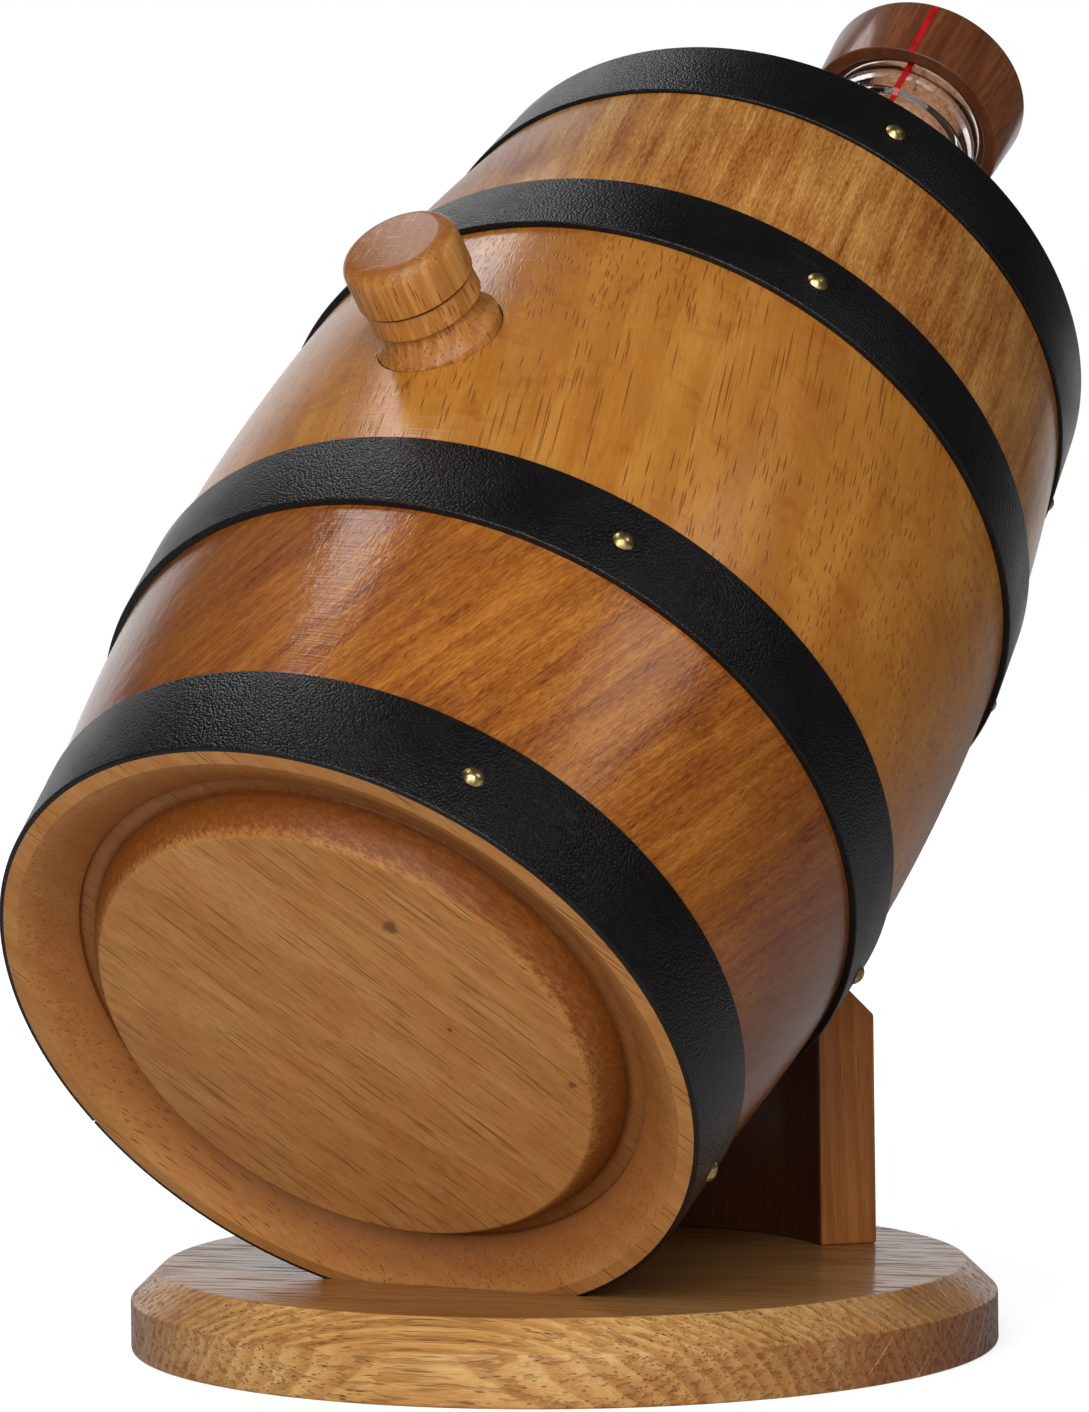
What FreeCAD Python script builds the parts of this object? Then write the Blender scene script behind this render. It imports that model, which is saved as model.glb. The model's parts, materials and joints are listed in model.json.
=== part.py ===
import FreeCAD, Part
import math
import os
import re

import Sketcher

# A turned oak cask that holds a glass flask, leaning on a round oak stand.
# Row frame: +Z up, origin at the centre of the stand's underside. The cask's axis lies in the YZ
# plane and rises towards +Y. Pieces of the cask are drawn round their own +Z, the cask's axis,
# with the lower end face at 0 and the side that ends up on top towards their own -Y.

doc = FreeCAD.newDocument("oak_cask")
sizes = doc.addObject("Spreadsheet::Sheet", "sizes")
fits = doc.addObject("Spreadsheet::Sheet", "fits")

# Driving dimensions, in millimetres and degrees.
SIZES = {
    # stand
    "base_radius": (98.0, "round base disc"),
    "base_thickness": (18.0, "board the disc is turned from"),
    "base_chamfer_width": (7.1, "chamfer on the disc's top edge, across"),
    "base_chamfer_height": (6.8, "the same chamfer, down the side"),
    "heel_forward": (45.5, "lowest corner of the cask, forward of the disc's centre"),
    "heel_depth": (5.8, "how deep that corner sinks into the disc"),
    "wall_inset": (22.7, "edge of the disc to the outer face of the support wall"),
    "wall_thickness": (13.8, "support wall"),
    "wall_rim_width": (3.0, "flat left on top of the wall"),
    "wall_span": (90.0, "part of a full turn that the wall covers"),
    "wall_arris": (2.0, "eased slanting edge of each end of the wall"),
    "screw_spread": (30.0, "angle from the middle screw to the outer ones"),
    "screw_length": (38.0, "under the head"),
    "screw_shank_radius": (2.0, "wood screw"),
    "screw_point_length": (5.0, "wood screw"),
    "screw_head_radius": (4.0, "pan head"),
    "screw_head_height": (2.6, "pan head"),
    "screw_recess_radius": (5.0, "counterbore in the underside of the disc"),
    "screw_recess_depth": (5.0, "counterbore"),
    # cask
    "cask_tilt": (38.0, "rise of the axis above level"),
    "cask_length": (260.4, "end face to end face"),
    "rim_radius": (79.0, "oak, at the end faces"),
    "end_swell": (2.2, "the radius grows by this under an end strap"),
    "belly_radius": (91.0, "oak, halfway along"),
    "end_strap_width": (22.0, "straps at both ends"),
    "end_strap_thickness": (1.1, "leather"),
    "belly_strap_start": (70.0, "end face to the belly strap's near edge"),
    "belly_strap_width": (20.0, "straps beside the belly"),
    "belly_strap_thickness": (1.6, "leather"),
    "strap_seam_gap": (0.6, "between the butted ends of a strap"),
    "joint_cover": (5.0, "near edge of the belly strap to the glued joint under it"),
    "spigot_radius": (72.0201, "turned spigot of the glued joint"),
    "spigot_cover": (5.4, "wood between the spigot and the points of the nails over it"),
    "spigot_height": (6.0, "turned spigot of the glued joint"),
    "ring_width": (3.3, "flat ring round the end face"),
    "bevel_width": (10.6, "inside that ring"),
    "bevel_depth": (8.2, "foot of the bevel inside that ring"),
    "bevel_curve": (60.0, "hollow of the bevel"),
    "groove_width": (3.9, "turned groove inside the bevel"),
    "groove_depth": (9.4, "turned groove"),
    "field_wall_width": (4.8, "from the groove in to the flat field"),
    "field_wall_curve": (14.0, "hollow side of the field"),
    "head_thickness": (24.0, "wood left at each end of the bore"),
    "neck_hole_radius": (24.5, "hole for the flask's neck"),
    # nails
    "nails_per_strap": (4, "from the front nail on to the right"),
    "nail_step_angle": (84.5, "angle from nail to nail"),
    "lower_end_nail_turn": (38.5, "from the top of the cask to the right, to the front nail"),
    "lower_belly_nail_turn": (39.7, "the same on the next strap"),
    "upper_belly_nail_turn": (44.4, "the same on the third strap"),
    "upper_end_nail_turn": (43.3, "the same on the last strap"),
    "nail_shank_radius": (0.8, "brass nail"),
    "nail_length": (12.0, "nails of the end straps, under the head"),
    "nail_point_length": (2.5, "brass nail"),
    "nail_head_radius": (2.4, "domed head"),
    "nail_head_height": (1.4, "domed head"),
    # bung
    "bung_below_middle": (1.8, "middle of the hole from halfway along the cask"),
    "bung_aside": (0.9, "middle of the hole off the top of the belly, to the left"),
    "bung_lean": (3.6, "of the bung and its hole, halfway between the lower end and the left"),
    "bung_hole_radius": (14.6, "blind hole in the belly"),
    "bung_hole_depth": (22.0, "blind hole in the belly"),
    "bung_taper": (0.6, "the plug is this much thinner at its foot"),
    "bung_flange_height": (0.5, "edge of the plug above the belly"),
    "bung_neck_radius": (11.4, "below the band"),
    "bung_neck_height": (6.4, "above the belly"),
    "bung_flare_curve": (9.0, "hollow from the plug's edge to the neck"),
    "bung_band_radius": (13.0, "foot of the band"),
    "bung_band_height": (7.3, "foot of the band above the belly"),
    "bung_band_width": (5.2, "foot to top of the band"),
    "bung_band_top_radius": (12.6, "top of the band"),
    "bung_groove_radius": (11.9, "line between band and knob"),
    "bung_groove_width": (0.7, "line between band and knob"),
    "bung_knob_radius": (13.4, "knob"),
    "bung_height": (24.8, "top of the knob above the belly"),
    "bung_edge_radius": (3.8, "rounded top edge of the knob"),
    # flask
    "flask_radius": (50.0, "glass body"),
    "flask_play": (4.3, "room between the glass and the bore when centred"),
    "flask_drop": (1.95, "the loose flask lies this much low in its bore"),
    "flask_shift": (3.55, "and this much to the side"),
    "flask_pad_thickness": (3.0, "cork disc"),
    "flask_heel_radius": (6.0, "rounded foot of the glass"),
    "flask_wall": (3.5, "glass body"),
    "flask_floor": (6.0, "glass foot"),
    "throat_margin": (2.4, "top of the flask's shoulder to the end of the bore"),
    "flask_shoulder_radius": (33.0, "glass, where the shoulder turns hollow"),
    "flask_shoulder_rise": (27.0, "up to there"),
    "flask_shoulder_curve": (34.0, "round of the shoulder"),
    "flask_throat_rise": (22.0, "hollow part of the shoulder"),
    "flask_throat_curve": (26.0, "hollow part of the shoulder"),
    "neck_radius": (19.2, "glass neck"),
    "lip_radius": (20.6, "glass ring at the mouth"),
    "lip_height": (12.5, "glass ring at the mouth"),
    "lip_step": (1.2, "slope under the ring"),
    "neck_reach": (90.6, "upper end face of the cask to the flask's mouth"),
    "mouth_bore_radius": (12.3, "inside of the neck"),
    # stopper
    "stopper_foot_radius": (25.9, "head, at its underside"),
    "stopper_top_radius": (27.0, "head, at its top"),
    "stopper_height": (21.2, "head"),
    "stopper_edge_radius": (1.6, "rounded top edge of the head"),
    "stopper_skirt": (3.2, "the head's rim reaches down round the lip"),
    "stopper_skirt_play": (1.8, "room round the lip"),
    "cork_depth": (24.0, "cork in the neck"),
    "cork_socket": (7.0, "cork in the head"),
    "stripe_width": (1.7, "red tear tape"),
    "stripe_thickness": (0.15, "red tear tape"),
    "stripe_turn": (292.5, "place of the tape round the flask"),
    "neck_stripe_length": (56.0, "tape from the mouth down the glass"),
    # clearances
    "seat_clearance": (0.3, "between pieces that come apart"),
    "screw_clearance": (0.3, "round the screws in the disc"),
    "point_clearance": (1.0, "left free beyond a screw's or nail's point"),
}

# Sizes that follow from the driving ones.
FITS = {
    "strap_edge_radius": "rim_radius + end_swell",
    "belly_swell": "belly_radius - strap_edge_radius",
    "ring_inner_radius": "rim_radius - ring_width",
    "groove_outer_radius": "ring_inner_radius - bevel_width",
    "groove_inner_radius": "groove_outer_radius - groove_width",
    "field_radius": "groove_inner_radius - field_wall_width",
    "rim_outer": "rim_radius + end_strap_thickness",
    "cask_foot_y": "-heel_forward - rim_outer * sin(cask_tilt)",
    "cask_foot_z": "base_thickness - heel_depth + rim_outer * cos(cask_tilt)",
    "half_length": "cask_length / 2",
    "block_joint": "belly_strap_start + joint_cover",
    "belly_half": "half_length - end_strap_width",
    "belly_curve": "(belly_half ^ 2 + belly_swell ^ 2) / (2 * belly_swell)",
    "belly_centre": "belly_radius - belly_curve",
    "joint_radius": "belly_centre + sqrt(belly_curve ^ 2 - (half_length - block_joint) ^ 2)",
    "upper_joint": "cask_length - block_joint",
    "belly_strap_end": "belly_strap_start + belly_strap_width",
    "strap_low_radius": "belly_centre + sqrt(belly_curve ^ 2 - (half_length - belly_strap_start) ^ 2)",
    "strap_high_radius": "belly_centre + sqrt(belly_curve ^ 2 - (half_length - belly_strap_end) ^ 2)",
    "end_nail_seat": "(rim_radius + strap_edge_radius) / 2 + end_strap_thickness",
    "belly_nail_seat": "(strap_low_radius + strap_high_radius) / 2 + belly_strap_thickness",
    "nail_dome": "(nail_head_radius ^ 2 + nail_head_height ^ 2) / (2 * nail_head_height)",
    "bore_radius": "flask_radius + flask_play",
    "belly_nail_length": "belly_nail_seat - spigot_radius - spigot_cover - point_clearance",
    "nail_span": "nail_step_angle * (nails_per_strap - 1)",
    "wall_outer_radius": "base_radius - wall_inset",
    "wall_inner_radius": "wall_outer_radius - wall_thickness",
    "middle_run": "wall_inner_radius - cask_foot_y - belly_radius * sin(cask_tilt)",
    "middle_rest_height": "cask_foot_z + middle_run * tan(cask_tilt) - belly_radius * cos(cask_tilt)",
    "end_reach": "sqrt(belly_radius ^ 2 - (wall_inner_radius * sin(wall_span / 2)) ^ 2)",
    "end_run": "wall_inner_radius * cos(wall_span / 2) - cask_foot_y - end_reach * sin(cask_tilt)",
    "end_rest_height": "cask_foot_z + end_run * tan(cask_tilt) - end_reach * cos(cask_tilt)",
    "wall_height": "min(middle_rest_height; end_rest_height) - seat_clearance",
    "wall_slope": "wall_thickness - wall_rim_width",
    "screw_circle": "wall_inner_radius + wall_thickness / 2",
    "screw_seat": "screw_recess_depth",
    "screw_tip": "screw_seat + screw_length",
    "bung_radius": "bung_hole_radius - seat_clearance",
    "bung_station": "half_length - bung_below_middle",
    "bung_foot_shift": "bung_hole_depth * sin(bung_lean) / sqrt(2)",
    "flask_foot": "head_thickness + flask_pad_thickness",
    "throat_end": "cask_length - head_thickness - throat_margin",
    "shoulder_turn": "throat_end - flask_throat_rise",
    "shoulder_start": "shoulder_turn - flask_shoulder_rise",
    "mouth_station": "cask_length + neck_reach",
    "stopper_foot": "mouth_station + seat_clearance - stopper_skirt",
    "stopper_top": "stopper_foot + stopper_height",
    "stopper_seat": "mouth_station + seat_clearance",
    "cork_radius": "mouth_bore_radius - seat_clearance",
}


def bound(text, own=()):
    """The expression with each size's name made into a reference to its cell."""
    def cell(match):
        word = match.group()
        if word in SIZES:
            return "sizes." + word
        if word in FITS and word not in own:
            return "fits." + word
        return word
    return re.sub(r"[a-z_]+", cell, text)


for row, (alias, (value, meaning)) in enumerate(SIZES.items(), 1):
    sizes.set(f"A{row}", meaning)
    sizes.set(f"B{row}", str(value))
    sizes.setAlias(f"B{row}", alias)
doc.recompute()
for row, (alias, formula) in enumerate(FITS.items(), 1):
    fits.set(f"A{row}", alias.replace("_", " "))
    fits.set(f"B{row}", "=" + bound(formula, own=FITS))
    fits.setAlias(f"B{row}", alias)
doc.recompute()


def value(text):
    """The present value of an expression in sizes."""
    return float(sizes.evalExpression(bound(text)))


def new_body(node):
    body = doc.addObject("PartDesign::Body", node)
    body.Label = node
    return body


def origin_feature(body, role):
    return next(item for item in body.Origin.OriginFeatures if item.Role == role)


def new_sketch(body, name, plane, shift=None, turn=None, axis=(0, 0, 1)):
    """A sketch on an origin plane, shifted and turned within that plane's own frame."""
    sketch = body.newObject("Sketcher::SketchObject", name)
    sketch.AttachmentSupport = (origin_feature(body, plane), "")
    sketch.MapMode = "FlatFace"
    if turn:
        rotation = FreeCAD.Rotation(FreeCAD.Vector(*axis), value(turn))
        sketch.AttachmentOffset = FreeCAD.Placement(FreeCAD.Vector(), rotation)
        sketch.setExpression("AttachmentOffset.Rotation.Angle", bound(turn))
    for direction, distance in (shift or {}).items():
        sketch.setExpression("AttachmentOffset.Base." + direction, bound(distance))
    return sketch


def pin_point(sketch, geometry, position, x, y):
    """Hold a point of the sketch at coordinates given as expressions."""
    for kind, text in (("DistanceX", x), ("DistanceY", y)):
        index = sketch.addConstraint(Sketcher.Constraint(kind, -1, 1, geometry, position, value(text)))
        sketch.setExpression(f"Constraints[{index}]", bound(text))


def arc_between(start, end, radius):
    """The short arc from start to end; a positive radius has its centre on the left of the way."""
    chord = end - start
    left = FreeCAD.Vector(-chord.y, chord.x, 0).normalize()
    reach = math.sqrt(radius ** 2 - chord.Length ** 2 / 4)
    centre = (start + end) / 2 + left * math.copysign(reach, radius)
    first, last = (start, end) if radius > 0 else (end, start)
    angles = [math.atan2(point.y - centre.y, point.x - centre.x) for point in (first, last)]
    circle = Part.Circle(centre, FreeCAD.Vector(0, 0, 1), abs(radius))
    return Part.ArcOfCircle(circle, *angles)


def draw_outline(sketch, points):
    """A closed outline. Each point is (x, y) or (x, y, radius of the arc to the next point)."""
    places = [FreeCAD.Vector(value(point[0]), value(point[1]), 0) for point in points]
    ends = []
    for index, point in enumerate(points):
        start, end = places[index], places[(index + 1) % len(places)]
        if len(point) == 2:
            edge = sketch.addGeometry(Part.LineSegment(start, end))
            ends.append((edge, 1, 2))
            continue
        radius = value(point[2])
        edge = sketch.addGeometry(arc_between(start, end, radius))
        ends.append((edge, 1, 2) if radius > 0 else (edge, 2, 1))
        held = sketch.addConstraint(Sketcher.Constraint("Radius", edge, abs(radius)))
        sketch.setExpression(f"Constraints[{held}]", bound(f"abs({point[2]})"))
    for index, point in enumerate(points):
        edge, start, _ = ends[index]
        before, _, end = ends[index - 1]
        sketch.addConstraint(Sketcher.Constraint("Coincident", before, end, edge, start))
        pin_point(sketch, edge, start, point[0], point[1])


def draw_circles(sketch, centres, radius):
    for x, y in centres:
        circle = Part.Circle(FreeCAD.Vector(value(x), value(y), 0), FreeCAD.Vector(0, 0, 1), value(radius))
        edge = sketch.addGeometry(circle)
        pin_point(sketch, edge, 3, x, y)
        held = sketch.addConstraint(Sketcher.Constraint("Radius", edge, value(radius)))
        sketch.setExpression(f"Constraints[{held}]", bound(radius))


def turn_profile(body, sketch, name, axis="V_Axis", angle="360", cut=False, midplane=False):
    """Turn a sketch round one of its own axes, adding to the body or cutting from it."""
    kind = "PartDesign::Groove" if cut else "PartDesign::Revolution"
    feature = body.newObject(kind, name)
    feature.Profile = sketch
    feature.ReferenceAxis = (sketch, [axis])
    feature.Midplane = midplane
    feature.setExpression("Angle", bound(angle))
    doc.recompute()
    return feature


def cut_pocket(body, sketch, name, depth):
    """Cut along the sketch's own normal."""
    before = body.Shape.Volume
    feature = body.newObject("PartDesign::Pocket", name)
    feature.Profile = sketch
    feature.Reversed = True
    feature.setExpression("Length", bound(depth))
    doc.recompute()
    assert body.Shape.Volume < before, name + " cuts nothing"


def repeat_round(body, feature, name, count, angle):
    """Copies of a feature round the body's own Z axis."""
    pattern = body.newObject("PartDesign::PolarPattern", name)
    pattern.Originals = [feature]
    pattern.Axis = (origin_feature(body, "Z_Axis"), [""])
    pattern.setExpression("Angle", bound(angle))
    pattern.setExpression("Occurrences", bound(count))
    body.Tip = pattern
    doc.recompute()


def place_on_cask(body, turn="90 - cask_tilt", axis=(-1, 0, 0), along="0", shift="0", drop="0"):
    """Lay a body on the tilted axis, moved along it, sideways and down within its cross-section."""
    rotation = FreeCAD.Rotation(FreeCAD.Vector(*axis), value(turn))
    body.Placement = FreeCAD.Placement(FreeCAD.Vector(), rotation)
    body.setExpression("Placement.Rotation.Angle", bound(turn))
    body.setExpression("Placement.Base.x", bound(shift))
    y = f"cask_foot_y + {along} * cos(cask_tilt) + {drop} * sin(cask_tilt)"
    z = f"cask_foot_z + {along} * sin(cask_tilt) - {drop} * cos(cask_tilt)"
    body.setExpression("Placement.Base.y", bound(y))
    body.setExpression("Placement.Base.z", bound(z))


def place_with_flask(body):
    place_on_cask(body, shift="flask_shift", drop="flask_drop")


# Stand.

SCREW_PLACES = [(f"screw_circle * sin({side} * screw_spread)", f"screw_circle * cos({side} * screw_spread)")
                for side in (-1, 0, 1)]


def make_base_disc():
    body = new_body("base_disc")
    profile = new_sketch(body, "base_profile", "XZ_Plane")
    draw_outline(profile, [
        ("0", "0"),
        ("base_radius", "0"),
        ("base_radius", "base_thickness - base_chamfer_height"),
        ("base_radius - base_chamfer_width", "base_thickness"),
        ("0", "base_thickness"),
    ])
    turn_profile(body, profile, "base_turned")
    # The pocket is the outside of the cask's lower end, wider by the clearance.
    seat = new_sketch(body, "seat_profile", "YZ_Plane", {"x": "cask_foot_y", "y": "cask_foot_z"},
                      "90 - cask_tilt", (0, 0, -1))
    draw_outline(seat, [
        ("0", "-seat_clearance"),
        ("rim_outer + seat_clearance", "-seat_clearance"),
        ("strap_edge_radius + end_strap_thickness + seat_clearance", "end_strap_width"),
        ("0", "end_strap_width"),
    ])
    before = body.Shape.Volume
    turn_profile(body, seat, "seat_pocket", cut=True)
    assert body.Shape.Volume < before, "the seat pocket cuts nothing"
    holes = new_sketch(body, "screw_holes", "XY_Plane")
    draw_circles(holes, SCREW_PLACES, "screw_shank_radius + screw_clearance")
    cut_pocket(body, holes, "screw_hole_pocket", "base_thickness")
    recesses = new_sketch(body, "screw_recesses", "XY_Plane")
    draw_circles(recesses, SCREW_PLACES, "screw_recess_radius")
    cut_pocket(body, recesses, "screw_recess_pocket", "screw_recess_depth")
    return body


def slanting_edges(shape):
    """Names of the edges that run at 45 degrees down the two ends of the wall."""
    names = []
    for number, edge in enumerate(shape.Edges, 1):
        start, end = edge.Vertexes[0].Point, edge.Vertexes[-1].Point
        run = math.hypot(end.x - start.x, end.y - start.y)
        rise = abs(end.z - start.z)
        if isinstance(edge.Curve, Part.Line) and rise > 1 and math.isclose(run, rise, rel_tol=1e-4):
            names.append(f"Edge{number}")
    return names


def make_support_wall():
    body = new_body("support_wall")
    profile = new_sketch(body, "wall_profile", "YZ_Plane")
    draw_outline(profile, [
        ("wall_inner_radius", "base_thickness"),
        ("wall_outer_radius", "base_thickness"),
        ("wall_outer_radius", "wall_height - wall_slope"),
        ("wall_inner_radius + wall_rim_width", "wall_height"),
        ("wall_inner_radius", "wall_height"),
    ])
    turned = turn_profile(body, profile, "wall_turned", angle="wall_span", midplane=True)
    arris = body.newObject("PartDesign::Chamfer", "wall_end_arris")
    arris.Base = (turned, slanting_edges(turned.Shape))
    arris.setExpression("Size", bound("wall_arris"))
    doc.recompute()
    holes = new_sketch(body, "pilot_holes", "XY_Plane", {"z": "base_thickness"})
    draw_circles(holes, SCREW_PLACES, "screw_shank_radius")
    cut_pocket(body, holes, "pilot_hole_pocket", "screw_tip + point_clearance - base_thickness")
    return body


def make_wall_screws():
    body = new_body("wall_screws")
    body.AllowCompound = True
    profile = new_sketch(body, "screw_profile", "XZ_Plane", {"x": "screw_circle"})
    draw_outline(profile, [
        ("0", "screw_seat - screw_head_height"),
        ("screw_head_radius", "screw_seat - screw_head_height"),
        ("screw_head_radius", "screw_seat"),
        ("screw_shank_radius", "screw_seat"),
        ("screw_shank_radius", "screw_tip - screw_point_length"),
        ("0", "screw_tip"),
    ])
    screw = turn_profile(body, profile, "screw")
    repeat_round(body, screw, "screws", "3", "2 * screw_spread")
    rotation = FreeCAD.Rotation(FreeCAD.Vector(0, 0, 1), value("90 - screw_spread"))
    body.Placement = FreeCAD.Placement(FreeCAD.Vector(), rotation)
    body.setExpression("Placement.Rotation.Angle", bound("90 - screw_spread"))
    return body


# Oak blocks of the cask.

def end_face(turn_over=False):
    """Turned face of either end, from the field's edge out to the strap's inner edge."""
    points = [
        ("field_radius", "0", "-field_wall_curve"),
        ("groove_inner_radius", "groove_depth"),
        ("groove_outer_radius", "groove_depth"),
        ("groove_outer_radius", "bevel_depth", "-bevel_curve"),
        ("ring_inner_radius", "0"),
        ("rim_radius", "0"),
        ("strap_edge_radius", "end_strap_width", "belly_curve"),
    ]
    if not turn_over:
        return points
    return [(point[0], f"cask_length - {point[1]}") + tuple(f"-({arc})" for arc in point[2:])
            for point in points]


# The nails of a belly strap end above the spigot under it.
NAIL_LENGTHS = {"end_nail_seat": "nail_length", "belly_nail_seat": "belly_nail_length"}


def front_nail(turn):
    """Angle from the body's +X to a strap's first nail; the top of the cask is at 270."""
    return f"270 + {turn}"


def drill_nail_holes(body, name, station, seat, turn):
    """Round holes for one strap's nails."""
    sketch = new_sketch(body, name + "_profile", "XZ_Plane", {"y": station}, front_nail(turn), (0, 1, 0))
    draw_outline(sketch, [
        (f"{seat} - {NAIL_LENGTHS[seat]} - point_clearance", "0"),
        (f"{seat} + nail_head_height", "0"),
        (f"{seat} + nail_head_height", "nail_shank_radius"),
        (f"{seat} - {NAIL_LENGTHS[seat]} - point_clearance", "nail_shank_radius"),
    ])
    before = body.Shape.Volume
    hole = turn_profile(body, sketch, name + "_hole", axis="H_Axis", cut=True)
    assert body.Shape.Volume < before, name + " cuts nothing"
    repeat_round(body, hole, name + "_holes", "nails_per_strap", "nail_span")


END_NAILS = "end_strap_width / 2"
BELLY_NAILS = "(belly_strap_start + belly_strap_end) / 2"
UPPER_END_NAILS = f"cask_length - {END_NAILS}"
UPPER_BELLY_NAILS = f"cask_length - {BELLY_NAILS}"


def make_lower_block():
    body = new_body("lower_block")
    profile = new_sketch(body, "lower_profile", "XZ_Plane")
    draw_outline(profile, [("0", "0")] + end_face() + [
        ("joint_radius", "block_joint"),
        ("spigot_radius", "block_joint"),
        ("spigot_radius", "block_joint + spigot_height"),
        ("bore_radius", "block_joint + spigot_height"),
        ("bore_radius", "head_thickness"),
        ("0", "head_thickness"),
    ])
    turn_profile(body, profile, "lower_turned")
    drill_nail_holes(body, "lower_end_nail", END_NAILS, "end_nail_seat", "lower_end_nail_turn")
    place_on_cask(body)
    return body


def make_middle_block():
    body = new_body("middle_block")
    profile = new_sketch(body, "middle_profile", "XZ_Plane")
    draw_outline(profile, [
        ("bore_radius", "block_joint + spigot_height"),
        ("spigot_radius", "block_joint + spigot_height"),
        ("spigot_radius", "block_joint"),
        ("joint_radius", "block_joint", "belly_curve"),
        ("joint_radius", "upper_joint"),
        ("spigot_radius", "upper_joint"),
        ("spigot_radius", "upper_joint + spigot_height"),
        ("bore_radius", "upper_joint + spigot_height"),
    ])
    turn_profile(body, profile, "middle_turned")
    hole_floor = {
        "x": "bung_foot_shift - bung_aside",
        "y": "bung_station + bung_foot_shift",
        "z": "belly_radius - bung_hole_depth * cos(bung_lean)",
    }
    hole = new_sketch(body, "bung_hole", "XZ_Plane", hole_floor, "bung_lean", (1, -1, 0))
    draw_circles(hole, [("0", "0")], "bung_hole_radius")
    cut_pocket(body, hole, "bung_hole_pocket", "bung_hole_depth + bung_height")
    drill_nail_holes(body, "lower_belly_nail", BELLY_NAILS, "belly_nail_seat", "lower_belly_nail_turn")
    drill_nail_holes(body, "upper_belly_nail", UPPER_BELLY_NAILS, "belly_nail_seat",
                     "upper_belly_nail_turn")
    place_on_cask(body)
    return body


def make_upper_block():
    body = new_body("upper_block")
    profile = new_sketch(body, "upper_profile", "XZ_Plane")
    draw_outline(profile, [("neck_hole_radius", "cask_length")] + end_face(turn_over=True) + [
        ("joint_radius", "upper_joint"),
        ("spigot_radius", "upper_joint"),
        ("spigot_radius", "upper_joint + spigot_height"),
        ("bore_radius", "upper_joint + spigot_height"),
        ("bore_radius", "cask_length - head_thickness"),
        ("neck_hole_radius", "cask_length - head_thickness"),
    ])
    turn_profile(body, profile, "upper_turned")
    drill_nail_holes(body, "upper_end_nail", UPPER_END_NAILS, "end_nail_seat", "upper_end_nail_turn")
    place_on_cask(body)
    return body


# Leather straps and their nails.

def make_strap(name, outline, station, seat, turn):
    """A strap wrapped round the cask, with holes for its nails. Its ends butt halfway between the
    last two."""
    body = new_body(name)
    seam = f"{front_nail(turn)} + nail_span - nail_step_angle / 2"
    profile = new_sketch(body, name + "_profile", "XZ_Plane", None, seam, (0, 1, 0))
    draw_outline(profile, outline)
    turn_profile(body, profile, name + "_wrapped", angle=f"360 - strap_seam_gap / {seat} * 180 / pi")
    drill_nail_holes(body, name, station, seat, turn)
    place_on_cask(body)
    return body


def make_nails(name, station, seat, turn):
    body = new_body(name)
    body.AllowCompound = True
    profile = new_sketch(body, name + "_profile", "XZ_Plane", {"y": station}, front_nail(turn), (0, 1, 0))
    draw_outline(profile, [
        (f"{seat} - {NAIL_LENGTHS[seat]}", "0"),
        (f"{seat} - {NAIL_LENGTHS[seat]} + nail_point_length", "nail_shank_radius"),
        (seat, "nail_shank_radius"),
        (seat, "nail_head_radius", "-nail_dome"),
        (f"{seat} + nail_head_height", "0"),
    ])
    nail = turn_profile(body, profile, name + "_nail", axis="H_Axis")
    repeat_round(body, nail, name + "_round", "nails_per_strap", "nail_span")
    place_on_cask(body)
    return body


def end_strap_outline(start, end):
    return [
        ("rim_radius", start),
        ("rim_radius + end_strap_thickness", start),
        ("strap_edge_radius + end_strap_thickness", end),
        ("strap_edge_radius", end),
    ]


def belly_strap_outline(start, end, side):
    """The inside follows the oak's curve; side is + for the lower strap and - for the upper."""
    return [
        ("strap_high_radius", end, f"{side}(-belly_curve)"),
        ("strap_low_radius", start),
        ("strap_low_radius + belly_strap_thickness", start),
        ("strap_high_radius + belly_strap_thickness", end),
    ]


def make_straps_and_nails():
    straps = {
        "lower_end": (end_strap_outline("0", "end_strap_width"), END_NAILS, "end_nail_seat"),
        "lower_belly": (belly_strap_outline("belly_strap_start", "belly_strap_end", "+"),
                        BELLY_NAILS, "belly_nail_seat"),
        "upper_belly": (belly_strap_outline("cask_length - belly_strap_start",
                                            "cask_length - belly_strap_end", "-"),
                        UPPER_BELLY_NAILS, "belly_nail_seat"),
        "upper_end": (end_strap_outline("cask_length", "cask_length - end_strap_width"),
                      UPPER_END_NAILS, "end_nail_seat"),
    }
    bodies = []
    for place, (outline, station, seat) in straps.items():
        turn = place + "_nail_turn"
        bodies.append(make_strap(place + "_strap", outline, station, seat, turn))
        bodies.append(make_nails(place + "_nails", station, seat, turn))
    return bodies


# Bung, drawn round its own leaning axis; heights are counted from the mouth of its hole.

def make_bung():
    body = new_body("bung")
    foot = "seat_clearance - bung_hole_depth"
    band_top = "bung_band_height + bung_band_width"
    profile = new_sketch(body, "bung_profile", "XZ_Plane", None, "bung_lean", (1, 0, 1))
    draw_outline(profile, [
        ("0", foot),
        ("bung_radius - bung_taper", foot),
        ("bung_radius", "0"),
        ("bung_radius", "bung_flange_height", "-bung_flare_curve"),
        ("bung_neck_radius", "bung_neck_height"),
        ("bung_band_radius", "bung_band_height"),
        ("bung_band_top_radius", band_top),
        ("bung_groove_radius", band_top),
        ("bung_groove_radius", f"{band_top} + bung_groove_width"),
        ("bung_knob_radius", f"{band_top} + bung_groove_width"),
        ("bung_knob_radius", "bung_height - bung_edge_radius", "bung_edge_radius"),
        ("bung_knob_radius - bung_edge_radius", "bung_height"),
        ("0", "bung_height"),
    ])
    turn_profile(body, profile, "bung_turned")
    place_on_cask(body, "cask_tilt", (1, 0, 0), "bung_station", "-bung_aside", "(-belly_radius)")
    return body


# Flask and stopper.

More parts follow.
